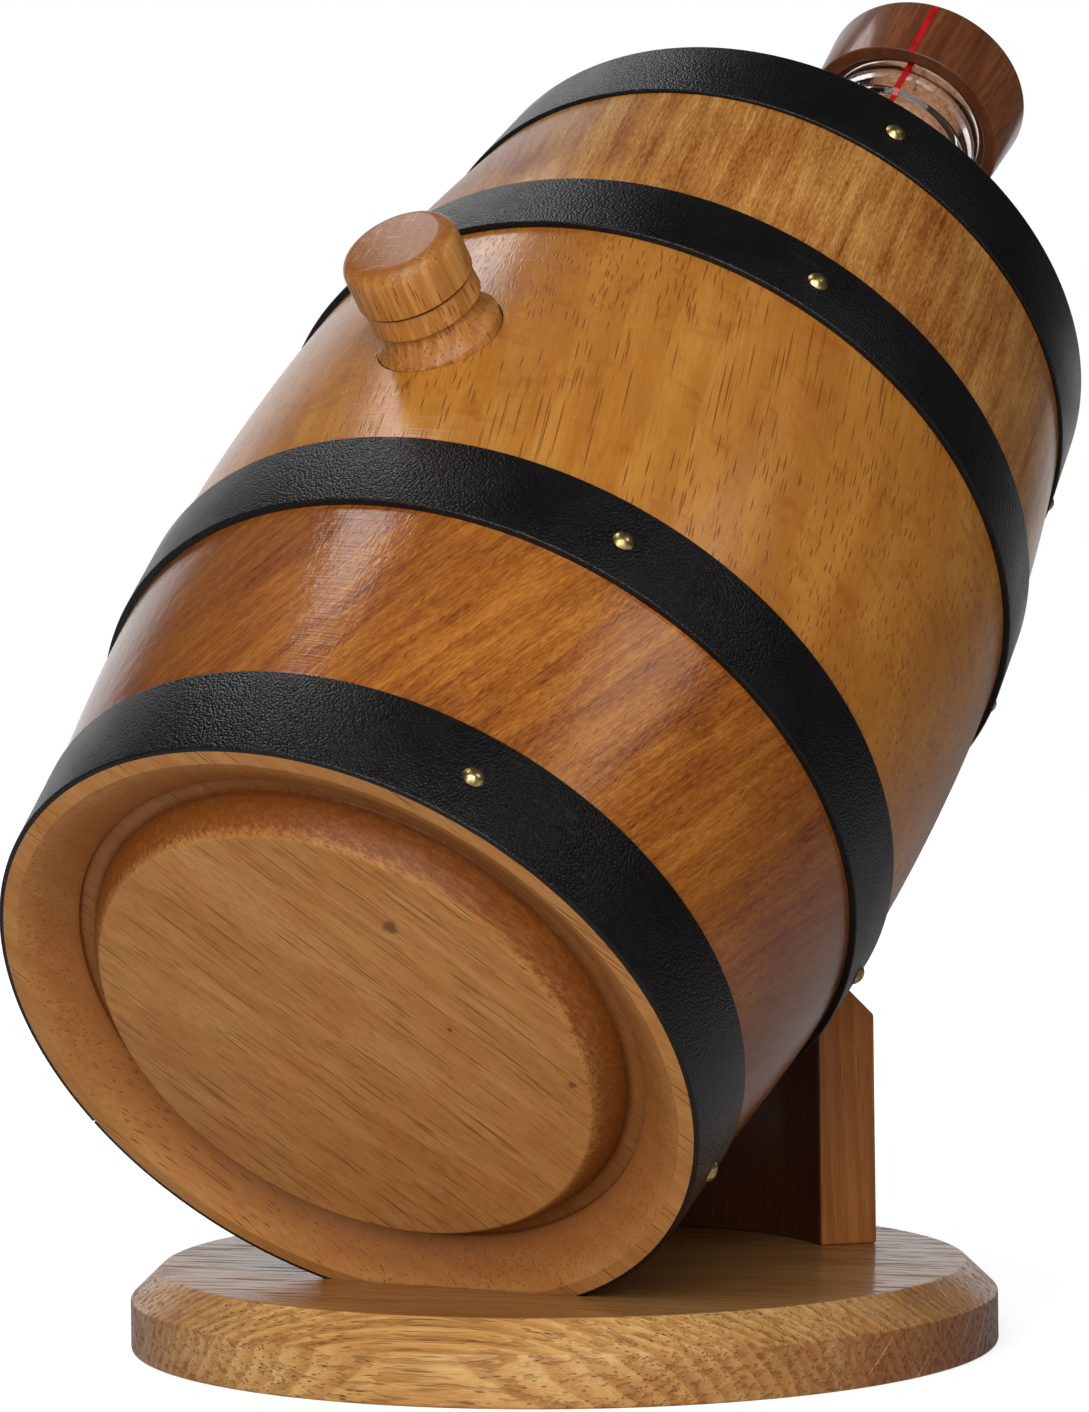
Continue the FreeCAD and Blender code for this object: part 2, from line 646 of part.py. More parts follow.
def make_glass_flask():
    body = new_body("glass_flask")
    inner_radius = "flask_radius - flask_wall"
    profile = new_sketch(body, "flask_profile", "XZ_Plane")
    draw_outline(profile, [
        ("0", "flask_foot"),
        ("flask_radius - flask_heel_radius", "flask_foot", "flask_heel_radius"),
        ("flask_radius", "flask_foot + flask_heel_radius"),
        ("flask_radius", "shoulder_start", "flask_shoulder_curve"),
        ("flask_shoulder_radius", "shoulder_turn", "-flask_throat_curve"),
        ("neck_radius", "throat_end"),
        ("neck_radius", "mouth_station - lip_height - lip_step"),
        ("lip_radius", "mouth_station - lip_height"),
        ("lip_radius", "mouth_station"),
        ("mouth_bore_radius", "mouth_station"),
        ("mouth_bore_radius", "throat_end"),
        ("flask_shoulder_radius - flask_wall", "shoulder_turn - flask_wall"),
        (inner_radius, "shoulder_start - flask_wall"),
        (inner_radius, "flask_foot + flask_floor"),
        ("0", "flask_foot + flask_floor"),
    ])
    turn_profile(body, profile, "flask_blown")
    place_with_flask(body)
    return body


def make_flask_base_pad():
    body = new_body("flask_base_pad")
    profile = new_sketch(body, "pad_profile", "XZ_Plane")
    draw_outline(profile, [
        ("0", "head_thickness"),
        ("bore_radius - seat_clearance", "head_thickness"),
        ("bore_radius - seat_clearance", "flask_foot"),
        ("0", "flask_foot"),
    ])
    turn_profile(body, profile, "pad_cut")
    place_on_cask(body)
    return body


def make_stopper_head():
    body = new_body("stopper_head")
    profile = new_sketch(body, "stopper_profile", "XZ_Plane")
    draw_outline(profile, [
        ("0", "stopper_seat + cork_socket"),
        ("cork_radius", "stopper_seat + cork_socket"),
        ("cork_radius", "stopper_seat"),
        ("lip_radius + stopper_skirt_play", "stopper_seat"),
        ("lip_radius + stopper_skirt_play", "stopper_foot"),
        ("stopper_foot_radius", "stopper_foot"),
        ("stopper_top_radius", "stopper_top - stopper_edge_radius", "stopper_edge_radius"),
        ("stopper_top_radius - stopper_edge_radius", "stopper_top"),
        ("0", "stopper_top"),
    ])
    turn_profile(body, profile, "stopper_turned")
    place_with_flask(body)
    return body


def make_stopper_cork():
    body = new_body("stopper_cork")
    profile = new_sketch(body, "cork_profile", "XZ_Plane")
    draw_outline(profile, [
        ("0", "stopper_seat - cork_depth"),
        ("cork_radius", "stopper_seat - cork_depth"),
        ("cork_radius", "stopper_seat + cork_socket"),
        ("0", "stopper_seat + cork_socket"),
    ])
    turn_profile(body, profile, "cork_cut")
    place_with_flask(body)
    return body


def make_stripe(name, outline, radius):
    """A strip of tape that lies on a round side."""
    body = new_body(name)
    profile = new_sketch(body, name + "_profile", "XZ_Plane", None, "stripe_turn", (0, 1, 0))
    draw_outline(profile, outline)
    turn_profile(body, profile, name + "_laid", angle=f"stripe_width / {radius} * 180 / pi", midplane=True)
    place_with_flask(body)
    return body


def make_stopper_stripe():
    return make_stripe("stopper_stripe", [
        ("stopper_foot_radius", "stopper_foot"),
        ("stopper_foot_radius + stripe_thickness", "stopper_foot"),
        ("stopper_top_radius + stripe_thickness", "stopper_top - stopper_edge_radius"),
        ("stopper_top_radius", "stopper_top - stopper_edge_radius"),
    ], "stopper_top_radius")


def make_neck_stripe():
    return make_stripe("neck_stripe", [
        ("neck_radius", "mouth_station - neck_stripe_length"),
        ("neck_radius + stripe_thickness", "mouth_station - neck_stripe_length"),
        ("neck_radius + stripe_thickness", "mouth_station - lip_height - lip_step"),
        ("lip_radius + stripe_thickness", "mouth_station - lip_height"),
        ("lip_radius + stripe_thickness", "mouth_station"),
        ("lip_radius", "mouth_station"),
        ("lip_radius", "mouth_station - lip_height"),
        ("neck_radius", "mouth_station - lip_height - lip_step"),
    ], "lip_radius")


nodes = [make_base_disc(), make_support_wall(), make_wall_screws()]
nodes += [make_lower_block(), make_middle_block(), make_upper_block()]
nodes += make_straps_and_nails()
nodes += [make_bung(), make_glass_flask(), make_flask_base_pad()]
nodes += [make_stopper_head(), make_stopper_cork(), make_stopper_stripe(), make_neck_stripe()]
doc.recompute()

for item in doc.Objects:
    if {"Invalid", "Error"} & set(item.State):
        raise RuntimeError(f"{item.Name} did not recompute")
for node in nodes:
    if node.Shape.isNull() or not node.Shape.isValid():
        raise RuntimeError(f"{node.Label} has no valid shape")

os.makedirs("parts", exist_ok=True)
for node in nodes:
    node.Shape.exportStep(f"parts/{node.Label}.step")
    box = node.Shape.BoundBox
    print(f"{node.Label}: {len(node.Shape.Solids)} solids, {node.Shape.Volume:.1f} mm3, "
          f"z {box.ZMin:.1f} to {box.ZMax:.1f}")
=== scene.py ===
import json
import math

import bmesh
import bpy
from mathutils import Matrix, Vector, noise


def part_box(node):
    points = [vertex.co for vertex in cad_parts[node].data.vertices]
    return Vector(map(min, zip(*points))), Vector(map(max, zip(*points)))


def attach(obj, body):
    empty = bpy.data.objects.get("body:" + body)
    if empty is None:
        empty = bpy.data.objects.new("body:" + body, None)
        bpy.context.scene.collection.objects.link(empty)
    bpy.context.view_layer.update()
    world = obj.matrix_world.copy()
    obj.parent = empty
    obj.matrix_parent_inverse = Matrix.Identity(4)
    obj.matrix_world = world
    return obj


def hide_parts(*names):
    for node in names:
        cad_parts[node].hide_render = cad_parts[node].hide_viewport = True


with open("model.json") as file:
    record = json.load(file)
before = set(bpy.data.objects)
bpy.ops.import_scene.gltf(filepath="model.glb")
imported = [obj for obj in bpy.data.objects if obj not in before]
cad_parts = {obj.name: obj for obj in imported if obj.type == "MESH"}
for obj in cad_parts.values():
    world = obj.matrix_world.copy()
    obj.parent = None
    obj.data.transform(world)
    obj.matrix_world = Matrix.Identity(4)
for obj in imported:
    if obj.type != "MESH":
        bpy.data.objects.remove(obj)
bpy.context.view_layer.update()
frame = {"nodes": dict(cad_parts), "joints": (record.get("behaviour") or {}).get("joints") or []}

MM = 0.001

# Sizes in millimetres, as in the part's own sheet, and the small roundings that only the looks
# need. Pairs are (radius or width, height). The cask's pieces are drawn round their own +Z, the
# cask's axis, with the lower end face at 0.
BASE_RADIUS = 98.0
BASE_THICKNESS = 18.0
BASE_CHAMFER = (7.1, 6.8)
HEEL_FORWARD = 45.5
HEEL_DEPTH = 5.8
WALL_INSET = 22.7
WALL_THICKNESS = 13.8
WALL_RIM_WIDTH = 3.0
WALL_SPAN = math.radians(90.0)
WALL_ARRIS = 0.9
CASK_LENGTH = 260.4
BELLY_RADIUS = 91.0
RIM_RADIUS = 79.0
STRAP_EDGE_RADIUS = 81.2
END_STRAP_WIDTH = 22.0
END_STRAP_THICKNESS = 1.1
BELLY_STRAP_START = 70.0
BELLY_STRAP_WIDTH = 20.0
BELLY_STRAP_THICKNESS = 1.6
STRAP_ROUND = 0.45
STRAP_SEAM_GAP = 0.6
BLOCK_JOINT = 75.0
SPIGOT_RADIUS = 72.0201
SPIGOT_HEIGHT = 6.0
RING_INNER_RADIUS = 75.7
BEVEL_DEPTH = 8.2
GROOVE_OUTER_RADIUS = 65.1
GROOVE_INNER_RADIUS = 61.2
GROOVE_DEPTH = 9.4
FIELD_RADIUS = 56.4
BORE_RADIUS = 54.3
HEAD_THICKNESS = 24.0
NECK_HOLE_RADIUS = 24.5
NAILS_PER_STRAP = 4
NAIL_STEP = math.radians(84.5)
FRONT_NAILS = {"lower_end": 38.5, "lower_belly": 39.7, "upper_belly": 44.4, "upper_end": 43.3}
NAIL_HEAD_RADIUS = 2.4
NAIL_HEAD_HEIGHT = 1.4
NAIL_HEAD_EDGE = 0.15
NAIL_HEAD_SUNK = 0.25
NAIL_SHANK_RADIUS = 0.8
NAIL_LENGTH = 12.0
NAIL_POINT_LENGTH = 2.5
DOME_STEPS = 8
BUNG_BELOW_MIDDLE = 1.8
BUNG_ASIDE = 0.9
BUNG_HOLE_RADIUS = 14.6
BUNG_HOLE_DEPTH = 22.0
BUNG_TAPER = 0.6
BUNG_TAPER_START = -0.6
BUNG_FLANGE_HEIGHT = 0.5
BUNG_FLARE_SAG = -0.62
BUNG_NECK = (11.4, 6.4)
BUNG_BAND = (13.0, 7.3)
BUNG_BAND_TOP = (12.6, 12.5)
BUNG_GROOVE_RADIUS = 11.9
BUNG_KNOB_RADIUS = 13.4
BUNG_KNOB_FOOT = 13.2
BUNG_EDGE_RADIUS = 3.8
BUNG_HEIGHT = 24.8
FLASK_RADIUS = 50.0
FLASK_DROP = 1.95
FLASK_SHIFT = 3.55
FLASK_PAD = 3.0
FLASK_WALL = 3.5
FLASK_FLOOR = 6.0
FLASK_HEEL_RADIUS = 6.0
FLASK_ROUND = 8.0
FLASK_INNER_ROUND = 6.0
FLASK_SHOULDER_RADIUS = 33.0
FLASK_SHOULDER_RISE = 27.0
FLASK_THROAT_RISE = 22.0
THROAT_MARGIN = 2.4
NECK_RADIUS = 19.2
LIP_RADIUS = 20.6
LIP_HEIGHT = 12.5
LIP_STEP = 1.2
MOUTH_STATION = CASK_LENGTH + 90.6
MOUTH_BORE_RADIUS = 12.3
SEAT_CLEARANCE = 0.3
STOPPER_FOOT_RADIUS = 25.9
STOPPER_TOP_RADIUS = 27.0
STOPPER_HEIGHT = 21.2
STOPPER_SKIRT = 3.2
STOPPER_SKIRT_PLAY = 1.8
STOPPER_EDGE_RADIUS = 1.6
CORK_SOCKET = 7.0

# Places that follow from the joints of the frame and from the sizes.
joint_axis = {joint["name"]: Vector(joint["axis"]) for joint in frame["joints"]}
TILT = math.asin(joint_axis["stopper_pull"].z)
RIM_OUTER = RIM_RADIUS + END_STRAP_THICKNESS
WALL_OUTER_RADIUS = BASE_RADIUS - WALL_INSET
WALL_INNER_RADIUS = WALL_OUTER_RADIUS - WALL_THICKNESS
CASK_FOOT = Vector((0.0,
                    -HEEL_FORWARD - RIM_OUTER * math.sin(TILT),
                    BASE_THICKNESS - HEEL_DEPTH + RIM_OUTER * math.cos(TILT)))
WALL_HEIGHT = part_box("support_wall")[1].z / MM
STOPPER_FOOT = MOUTH_STATION + SEAT_CLEARANCE - STOPPER_SKIRT
STOPPER_SEAT = MOUTH_STATION + SEAT_CLEARANCE
CORK_RADIUS = MOUTH_BORE_RADIUS - SEAT_CLEARANCE

ROW = Matrix.Identity(4)

# The floor, in metres, and its glow: (strength near, far) between (near, far) in millimetres.
FLOOR_REACH = 3.0
FLOOR_GLOW = (0.72, 1.0)
FLOOR_GLOW_EDGE = (150.0, 450.0)

# Ways of the fibres in the blocks, and dark spots on the lower face: (centre, radius).
MIDDLE_FIBRES = (-0.173, -0.129, 0.977)
LOWER_FIBRES = (-0.83, -0.56, 0.0)
FACE_FIBRES = (-0.63, -0.777, 0.015)
FACE_SPOTS = (((24.3, -32.4, 0.0), 2.4), ((28.0, -4.4, 0.0), 0.9), ((51.8, 9.9, 0.0), 1.3))

# The room's light. The backdrop's edge is the cosine of the angle from its way.
LIGHT_TARGET = (0.0, 0.0, 0.15)
ROOM_LEVEL = 0.1
ROOM_SHINE = 0.05
BACKDROP_WAY = (-0.53, 0.845, 0.08)
BACKDROP_EDGE = (0.79, 0.90)

# Frames of the tilted pieces.
CASK = (Matrix.Translation(CASK_FOOT * MM)
        @ Matrix.Rotation(TILT - math.pi / 2, 4, "X"))
FLASK = CASK @ Matrix.Translation(Vector((FLASK_SHIFT, FLASK_DROP, 0.0)) * MM)
BUNG_STATION = CASK_LENGTH / 2 - BUNG_BELOW_MIDDLE
BUNG_MOUTH = CASK @ (Vector((-BUNG_ASIDE, -BELLY_RADIUS, BUNG_STATION)) * MM)
BUNG = (Matrix.Translation(BUNG_MOUTH)
        @ joint_axis["bung_pull"].to_track_quat("Z", "Y").to_matrix().to_4x4())


def belly(station):
    """The oak's radius at a station: a straight end under each end strap, an arc between them."""
    station = min(station, CASK_LENGTH - station)
    if station < END_STRAP_WIDTH:
        return RIM_RADIUS + (STRAP_EDGE_RADIUS - RIM_RADIUS) * station / END_STRAP_WIDTH
    half = CASK_LENGTH / 2 - END_STRAP_WIDTH
    rise = BELLY_RADIUS - STRAP_EDGE_RADIUS
    curve = (half ** 2 + rise ** 2) / (2 * rise)
    return BELLY_RADIUS - curve + math.sqrt(curve ** 2 - (CASK_LENGTH / 2 - station) ** 2)


# Mesh tools.

def soften(corners, steps=5):
    """A closed outline of (radius, height) corners; a third value rounds that corner."""
    outline = []
    for index, corner in enumerate(corners):
        here = Vector(corner[:2])
        if len(corner) == 2:
            outline.append(here)
            continue
        before = (Vector(corners[index - 1][:2]) - here).normalized()
        after = (Vector(corners[(index + 1) % len(corners)][:2]) - here).normalized()
        half = before.angle(after) / 2
        centre = here + (before + after).normalized() * corner[2] / math.sin(half)
        first = here + before * corner[2] / math.tan(half) - centre
        last = here + after * corner[2] / math.tan(half) - centre
        turn = first.angle_signed(last)
        for step in range(steps + 1):
            outline.append(centre + Matrix.Rotation(-turn * step / steps, 2) @ first)
    return outline


def sag(start, end, depth, steps=8):
    """Points between two corners along a shallow arc; depth is to the right of the way."""
    start, end = Vector(start), Vector(end)
    way = end - start
    right = Vector((way.y, -way.x)).normalized()
    points = []
    for step in range(1, steps):
        part = step / steps
        points.append(tuple(start + way * part + right * depth * 4 * part * (1 - part)))
    return points


def add_object(name, mesh, matrix):
    """An object at the origin whose mesh is carried from its own frame to the row frame."""
    mesh.transform(matrix)
    piece = bpy.data.objects.new(name, mesh)
    bpy.context.scene.collection.objects.link(piece)
    return piece


def finish_mesh(mesh, angle=32.0):
    for face in mesh.polygons:
        face.use_smooth = True
    mesh.set_sharp_from_angle(angle=math.radians(angle))


def lathe(name, outline, matrix, segments=256, start=0.0, sweep=math.tau):
    """A closed outline turned round +Z. A sweep short of a full turn gets its two end faces."""
    whole = abs(sweep - math.tau) < 1e-6
    turns = segments if whole else segments + 1
    shape = bmesh.new()
    rings = []
    for radius, height in outline:
        if radius < 1e-6:
            rings.append([shape.verts.new((0.0, 0.0, height * MM))] * turns)
            continue
        ring = []
        for turn in range(turns):
            angle = start + sweep * turn / segments
            ring.append(shape.verts.new((radius * MM * math.cos(angle),
                                         radius * MM * math.sin(angle), height * MM)))
        rings.append(ring)
    for index, lower in enumerate(rings):
        upper = rings[(index + 1) % len(rings)]
        for turn in range(segments):
            following = (turn + 1) % turns
            corners = [lower[turn], lower[following], upper[following], upper[turn]]
            corners = list(dict.fromkeys(corners))
            if len(corners) > 2:
                shape.faces.new(corners)
    if not whole:
        shape.faces.new([ring[0] for ring in rings])
        shape.faces.new([ring[-1] for ring in reversed(rings)])
    bmesh.ops.recalc_face_normals(shape, faces=shape.faces)
    mesh = bpy.data.meshes.new(name)
    shape.to_mesh(mesh)
    shape.free()
    finish_mesh(mesh)
    return add_object(name, mesh, matrix)


def cut(piece, *cutters):
    """Cut the shapes out of the piece, for good."""
    for cutter in cutters:
        modifier = piece.modifiers.new("cut", "BOOLEAN")
        modifier.operation = "DIFFERENCE"
        modifier.solver = "EXACT"
        modifier.object = cutter
    bake_modifiers(piece)
    for cutter in cutters:
        bpy.data.objects.remove(cutter)


def bake_modifiers(piece):
    bpy.context.view_layer.update()
    depsgraph = bpy.context.evaluated_depsgraph_get()
    done = bpy.data.meshes.new_from_object(piece.evaluated_get(depsgraph))
    piece.modifiers.clear()
    piece.data = done
    finish_mesh(done)


def wobble(piece, reach, size, seed):
    """Push the surface in and out a little, as handwork does. Reach and size are in millimetres."""
    mesh = piece.data
    shift = Vector((seed * 17.3, seed * 5.1, seed * 9.7))
    moved = []
    for vertex in mesh.vertices:
        push = noise.noise(vertex.co / (size * MM) + shift) * reach * MM
        moved.append(vertex.co + vertex.normal * push)
    for vertex, place in zip(mesh.vertices, moved):
        vertex.co = place


def dress(piece, body, node, material):
    """Ride on a body, stand for a CAD node and take a material."""
    piece.data.materials.clear()
    piece.data.materials.append(material)
    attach(piece, body)
    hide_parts(node)


# Material tools.

class Paint:
    """A node material with short calls. Its places are in millimetres, in the frame that its piece
    was drawn in."""

    def __init__(self, name, drawn_in=ROW):
        self.material = bpy.data.materials.new(name)
        self.material.use_nodes = True
        self.tree = self.material.node_tree
        self.shader = self.tree.nodes["Principled BSDF"]
        self.back = drawn_in.inverted()

    def node(self, kind, values=(), **settings):
        node = self.tree.nodes.new(kind)
        for key, value in settings.items():
            setattr(node, key, value)
        for socket, value in dict(values).items():
            self.feed(node.inputs[socket], value)
        return node

    def feed(self, socket, value):
        if isinstance(value, bpy.types.NodeSocket):
            self.tree.links.new(value, socket)
        else:
            socket.default_value = value

    def math(self, operation, first, second=0.0, clamp=False):
        node = self.node("ShaderNodeMath", {0: first, 1: second}, operation=operation,
                         use_clamp=clamp)
        return node.outputs[0]

    def multiply(self, first, second):
        return self.math("MULTIPLY", first, second)

    def total(self, base, *parts):
        """The base plus each (value, share)."""
        for value, share in parts:
            node = self.node("ShaderNodeMath", {0: value, 1: share, 2: base},
                             operation="MULTIPLY_ADD")
            base = node.outputs[0]
        return base

    def spread(self, value, low, high, to_low=0.0, to_high=1.0):
        """Smoothly carry low..high to to_low..to_high."""
        node = self.node("ShaderNodeMapRange", {"Value": value, "From Min": low, "From Max": high,
                                                "To Min": to_low, "To Max": to_high},
                         interpolation_type="SMOOTHSTEP")
        return node.outputs["Result"]

    def mix(self, factor, first, second, blend="MIX"):
        node = self.node("ShaderNodeMix", data_type="RGBA", blend_type=blend)
        for socket, value in (("Factor_Float", factor), ("A_Color", first), ("B_Color", second)):
            self.feed(next(item for item in node.inputs if item.identifier == socket), value)
        return next(item for item in node.outputs if item.identifier == "Result_Color")

    def ramp(self, value, *stops):
        """Colours at (place, colour) stops, in rising order."""
        node = self.node("ShaderNodeValToRGB", {"Fac": value})
        points = node.color_ramp.elements
        points[0].position, points[1].position = stops[0][0], stops[-1][0]
        for place, color in stops[1:-1]:
            points.new(place)
        for point, (place, color) in zip(points, stops):
            point.color = color
        return node.outputs["Color"]

    def place(self, along=(0, 0, 1), roll=0.0, shift=(0, 0, 0)):
        """Millimetre coordinates, turned from the piece's own frame so that a way becomes Z, then
        rolled round Z (in degrees) and shifted."""
        here = self.node("ShaderNodeTexCoord").outputs["Object"]
        own = self.node("ShaderNodeMapping", {"Vector": here,
                                              "Location": self.back.translation / MM,
                                              "Rotation": self.back.to_euler(),
                                              "Scale": (1 / MM, 1 / MM, 1 / MM)})
        turn = Vector(along).rotation_difference(Vector((0, 0, 1))).to_matrix()
        turn = Matrix.Rotation(math.radians(roll), 3, "Z") @ turn
        turned = self.node("ShaderNodeMapping", {"Vector": own.outputs[0], "Location": shift,
                                                 "Rotation": turn.to_euler()})
        return turned.outputs["Vector"]

    def stretch(self, vector, x, y, z):
        """Coordinates divided by a grain size along each axis, in millimetres."""
        node = self.node("ShaderNodeVectorMath", {0: vector, 1: (1 / x, 1 / y, 1 / z)},
                         operation="MULTIPLY")
        return node.outputs[0]

    def noise(self, vector, size, detail=2.0, roughness=0.5, distortion=0.0):
        """Cloudy noise whose grains have that (x, y, z) size."""
        node = self.node("ShaderNodeTexNoise", {"Vector": self.stretch(vector, *size), "Scale": 1.0,
                                                "Detail": detail, "Roughness": roughness,
                                                "Distortion": distortion})
        return node.outputs["Fac"]

    def cells(self, vector, size):
        """Distance from the nearest of scattered points, and that point's own chance."""
        node = self.node("ShaderNodeTexVoronoi", {"Vector": self.stretch(vector, *size),
                                                  "Scale": 1.0})
        return node.outputs["Distance"], self.split(node.outputs["Color"])[0]

    def strokes(self, vector, size, share):
        """Short strokes with tapered ends: 1 on a stroke. Share of the cells have one."""
        distance, chance = self.cells(vector, size)
        chosen = self.spread(self.math("SUBTRACT", share, chance), 0.0, 0.12)
        return self.multiply(self.spread(distance, 0.5, 0.22), chosen)

    def spot(self, vector, centre, radius):
        """1 in a fuzzy round spot, 0 away from it."""
        away = self.node("ShaderNodeVectorMath", {0: vector, 1: centre}, operation="DISTANCE")
        ragged = self.noise(vector, (radius * 0.6,) * 3, 3.0, 0.6)
        edge = self.total(-radius * 0.6, (away.outputs["Value"], 1.0), (ragged, radius * 1.2))
        return self.spread(edge, radius, radius * 0.3)

    def split(self, vector):
        return self.node("ShaderNodeSeparateXYZ", {0: vector}).outputs

    def from_axis(self, vector, aside=0.0):
        """Distance from a line along Z at x = -aside."""
        x, y, z = self.split(vector)
        x = self.math("ADD", x, aside)
        return self.math("SQRT", self.math("ADD", self.math("POWER", x, 2.0),
                                           self.math("POWER", y, 2.0)))

    def end_grain(self, along):
        """1 where the surface lies across a way of the piece, 0 where it lies along it."""
        way = self.back.inverted().to_3x3() @ Vector(along).normalized()
        normal = self.node("ShaderNodeTexCoord").outputs["Normal"]
        node = self.node("ShaderNodeVectorMath", {0: normal, 1: way}, operation="DOT_PRODUCT")
        return self.math("POWER", self.math("ABSOLUTE", node.outputs["Value"]), 2.0)

    def bump(self, height, distance, strength=1.0, normal=None):
        values = {"Height": height, "Distance": distance * MM, "Strength": strength}
        if normal is not None:
            values["Normal"] = normal
        return self.node("ShaderNodeBump", values).outputs["Normal"]

    def set(self, **values):
        for name, value in values.items():
            self.feed(self.shader.inputs[name.replace("_", " ")], value)


def rgb(red, green, blue):
    """Linear colour from 0-255 screen values."""
    channels = []
    for value in (red, green, blue):
        value /= 255
        channels.append(value / 12.92 if value <= 0.04045 else ((value + 0.055) / 1.055) ** 2.4)
    return (*channels, 1.0)


def rings(paint, here, pith, width, waver):
    """Growth rings round an axis along Z at x = -pith: from 0 in early wood to 1 in late wood, and
    the ring's own tone."""
    drift = paint.noise(here, (40.0, 40.0, 150.0), 3.0, 0.5)
    phase = paint.total(0.0, (paint.from_axis(here, pith), 1.0 / width), (drift, waver))
    part = paint.math("FRACT", phase)
    late = paint.multiply(paint.spread(part, 0.1, 0.8), paint.spread(part, 1.0, 0.9))
    line = paint.node("ShaderNodeCombineXYZ", {0: phase}).outputs[0]
    return late, paint.noise(line, (1.6, 1.0, 1.0), 1.0)


def oak(paint, colors, along=(0, 0, 1), roll=0.0, shift=(0, 0, 0), pith=300.0, width=3.0,
        waver=4.0, bands=0.3, clouds=0.8, streaks=0.5, pores=0.7, pore=(0.5, 0.5, 12.0),
        share=0.3, soaked=0.6):
    """Sawn oak with its fibres along a way of the piece. The colours run from light to dark.
    Returns the colour and a relief with sunk pores."""
    light, middle, dark, deep = colors
    here = paint.place(along, roll, shift)
    late, each = rings(paint, here, pith, width, waver)
    streak = paint.noise(here, (1.1, 1.1, 55.0), 4.0, 0.65)
    fine = paint.noise(here, (0.25, 0.25, 8.0), 2.0, 0.5)
    cloud = paint.noise(here, (20.0, 20.0, 60.0), 3.0, 0.6)
    tone = paint.total(0.5 - (bands * 1.1 + clouds + streaks + 0.35) * 0.5, (late, bands * 0.6),
                       (each, bands * 0.5), (cloud, clouds), (streak, streaks), (fine, 0.35))
    color = paint.ramp(tone, (0.15, light), (0.5, middle), (0.88, dark))
    crowd = paint.noise(here, (16.0, 16.0, 40.0), 2.0, 0.5)
    gathered = paint.total(share - 0.42, (late, -0.14), (crowd, 1.0))
    stroke = paint.strokes(here, pore, gathered)
    color = paint.mix(paint.multiply(stroke, pores), color, deep)
    color = paint.mix(paint.multiply(paint.end_grain(along), soaked), color, dark)
    relief = paint.total(0.0, (stroke, -1.0), (streak, 0.3), (fine, 0.25))
    return color, relief


def fuzzy_oak(paint, colors, across, shift, band, speckle=0.5, clouds=0.5):
    """Oak cut askew: soft bands in planes across a way of the piece, with short speckle in them."""
    light, middle, dark, deep = colors
    here = paint.place(across, 0.0, shift)
    broad = paint.noise(here, band, 3.0, 0.65, 0.35)
    thin = paint.noise(here, (band[0] * 0.4, band[1] * 0.4, band[2] * 0.16), 3.0, 0.6, 0.2)
    speck = paint.noise(here, (2.2, 2.2, 0.35), 2.0, 0.6)
    cloud = paint.noise(here, (28.0, 28.0, 28.0), 2.0, 0.5)
    tone = paint.total(0.5 - (1.0 + 0.6 + speckle + clouds) * 0.5, (broad, 1.0), (thin, 0.6),
                       (speck, speckle), (cloud, clouds))
    color = paint.ramp(tone, (0.1, light), (0.48, middle), (0.8, dark), (1.0, deep))
    relief = paint.total(0.0, (speck, 0.6), (thin, 0.6))
    return color, relief


def varnish(paint, color, relief, depth=0.05, rough=0.5, coat=0.28, coat_rough=0.17, ripple=0.05,
            hatch=0.0, sunk=0.35, bare=None):
    """Lacquer over the oak. Ripple is the height of its broad waves, hatch that of its fine lines
    along and round the piece, in millimetres. Sunk is how much of the relief it follows; bare is 1
    where the lacquer has soaked away."""
    here = paint.place()
    normal = paint.bump(relief, depth, 1.0)
    waves = paint.noise(here, (3.2, 3.2, 5.0), 2.0, 0.5)
    film = paint.bump(waves, ripple, 1.0)
    if hatch:
        along = paint.noise(here, (0.6, 0.6, 30.0), 2.0, 0.6)
        round_it = paint.noise(here, (40.0, 40.0, 0.55), 2.0, 0.6)
        film = paint.bump(paint.math("ADD", along, round_it), hatch, 1.0, film)
    film = paint.bump(relief, depth * sunk, 1.0, film)
    patch = paint.noise(here, (14.0, 14.0, 24.0), 3.0, 0.6)
    paint.set(Base_Color=color, Roughness=rough, Normal=normal, Specular_IOR_Level=0.15,
              Coat_Weight=coat if bare is None else paint.spread(bare, 0.0, 1.0, coat, 0.0),
              Coat_Roughness=paint.spread(patch, 0.3, 0.7, coat_rough * 0.75, coat_rough * 1.3),
              Coat_Normal=film)
    return paint.material


def leather():
    paint = Paint("strap_leather", CASK)
    here = paint.place()
    pebble, chance = paint.cells(here, (0.62, 0.62, 0.62))
    fine = paint.noise(here, (0.3, 0.3, 0.3), 2.0)
    broad = paint.noise(here, (14.0, 14.0, 14.0), 3.0)
    scuff = paint.spread(paint.noise(here, (9.0, 9.0, 3.0), 3.0, 0.6), 0.66, 0.8)
    color = paint.mix(paint.spread(broad, 0.3, 0.7), rgb(7, 7, 8), rgb(14, 13, 13))
    color = paint.mix(paint.multiply(scuff, 0.3), color, rgb(60, 56, 54))
    height = paint.total(0.0, (pebble, -1.0), (chance, 0.25), (fine, 0.35))
    rough = paint.spread(broad, 0.3, 0.7, 0.28, 0.36)
    paint.set(Base_Color=color, Roughness=rough, Normal=paint.bump(height, 0.17, 0.85),
              Specular_IOR_Level=0.32)
    return paint.material


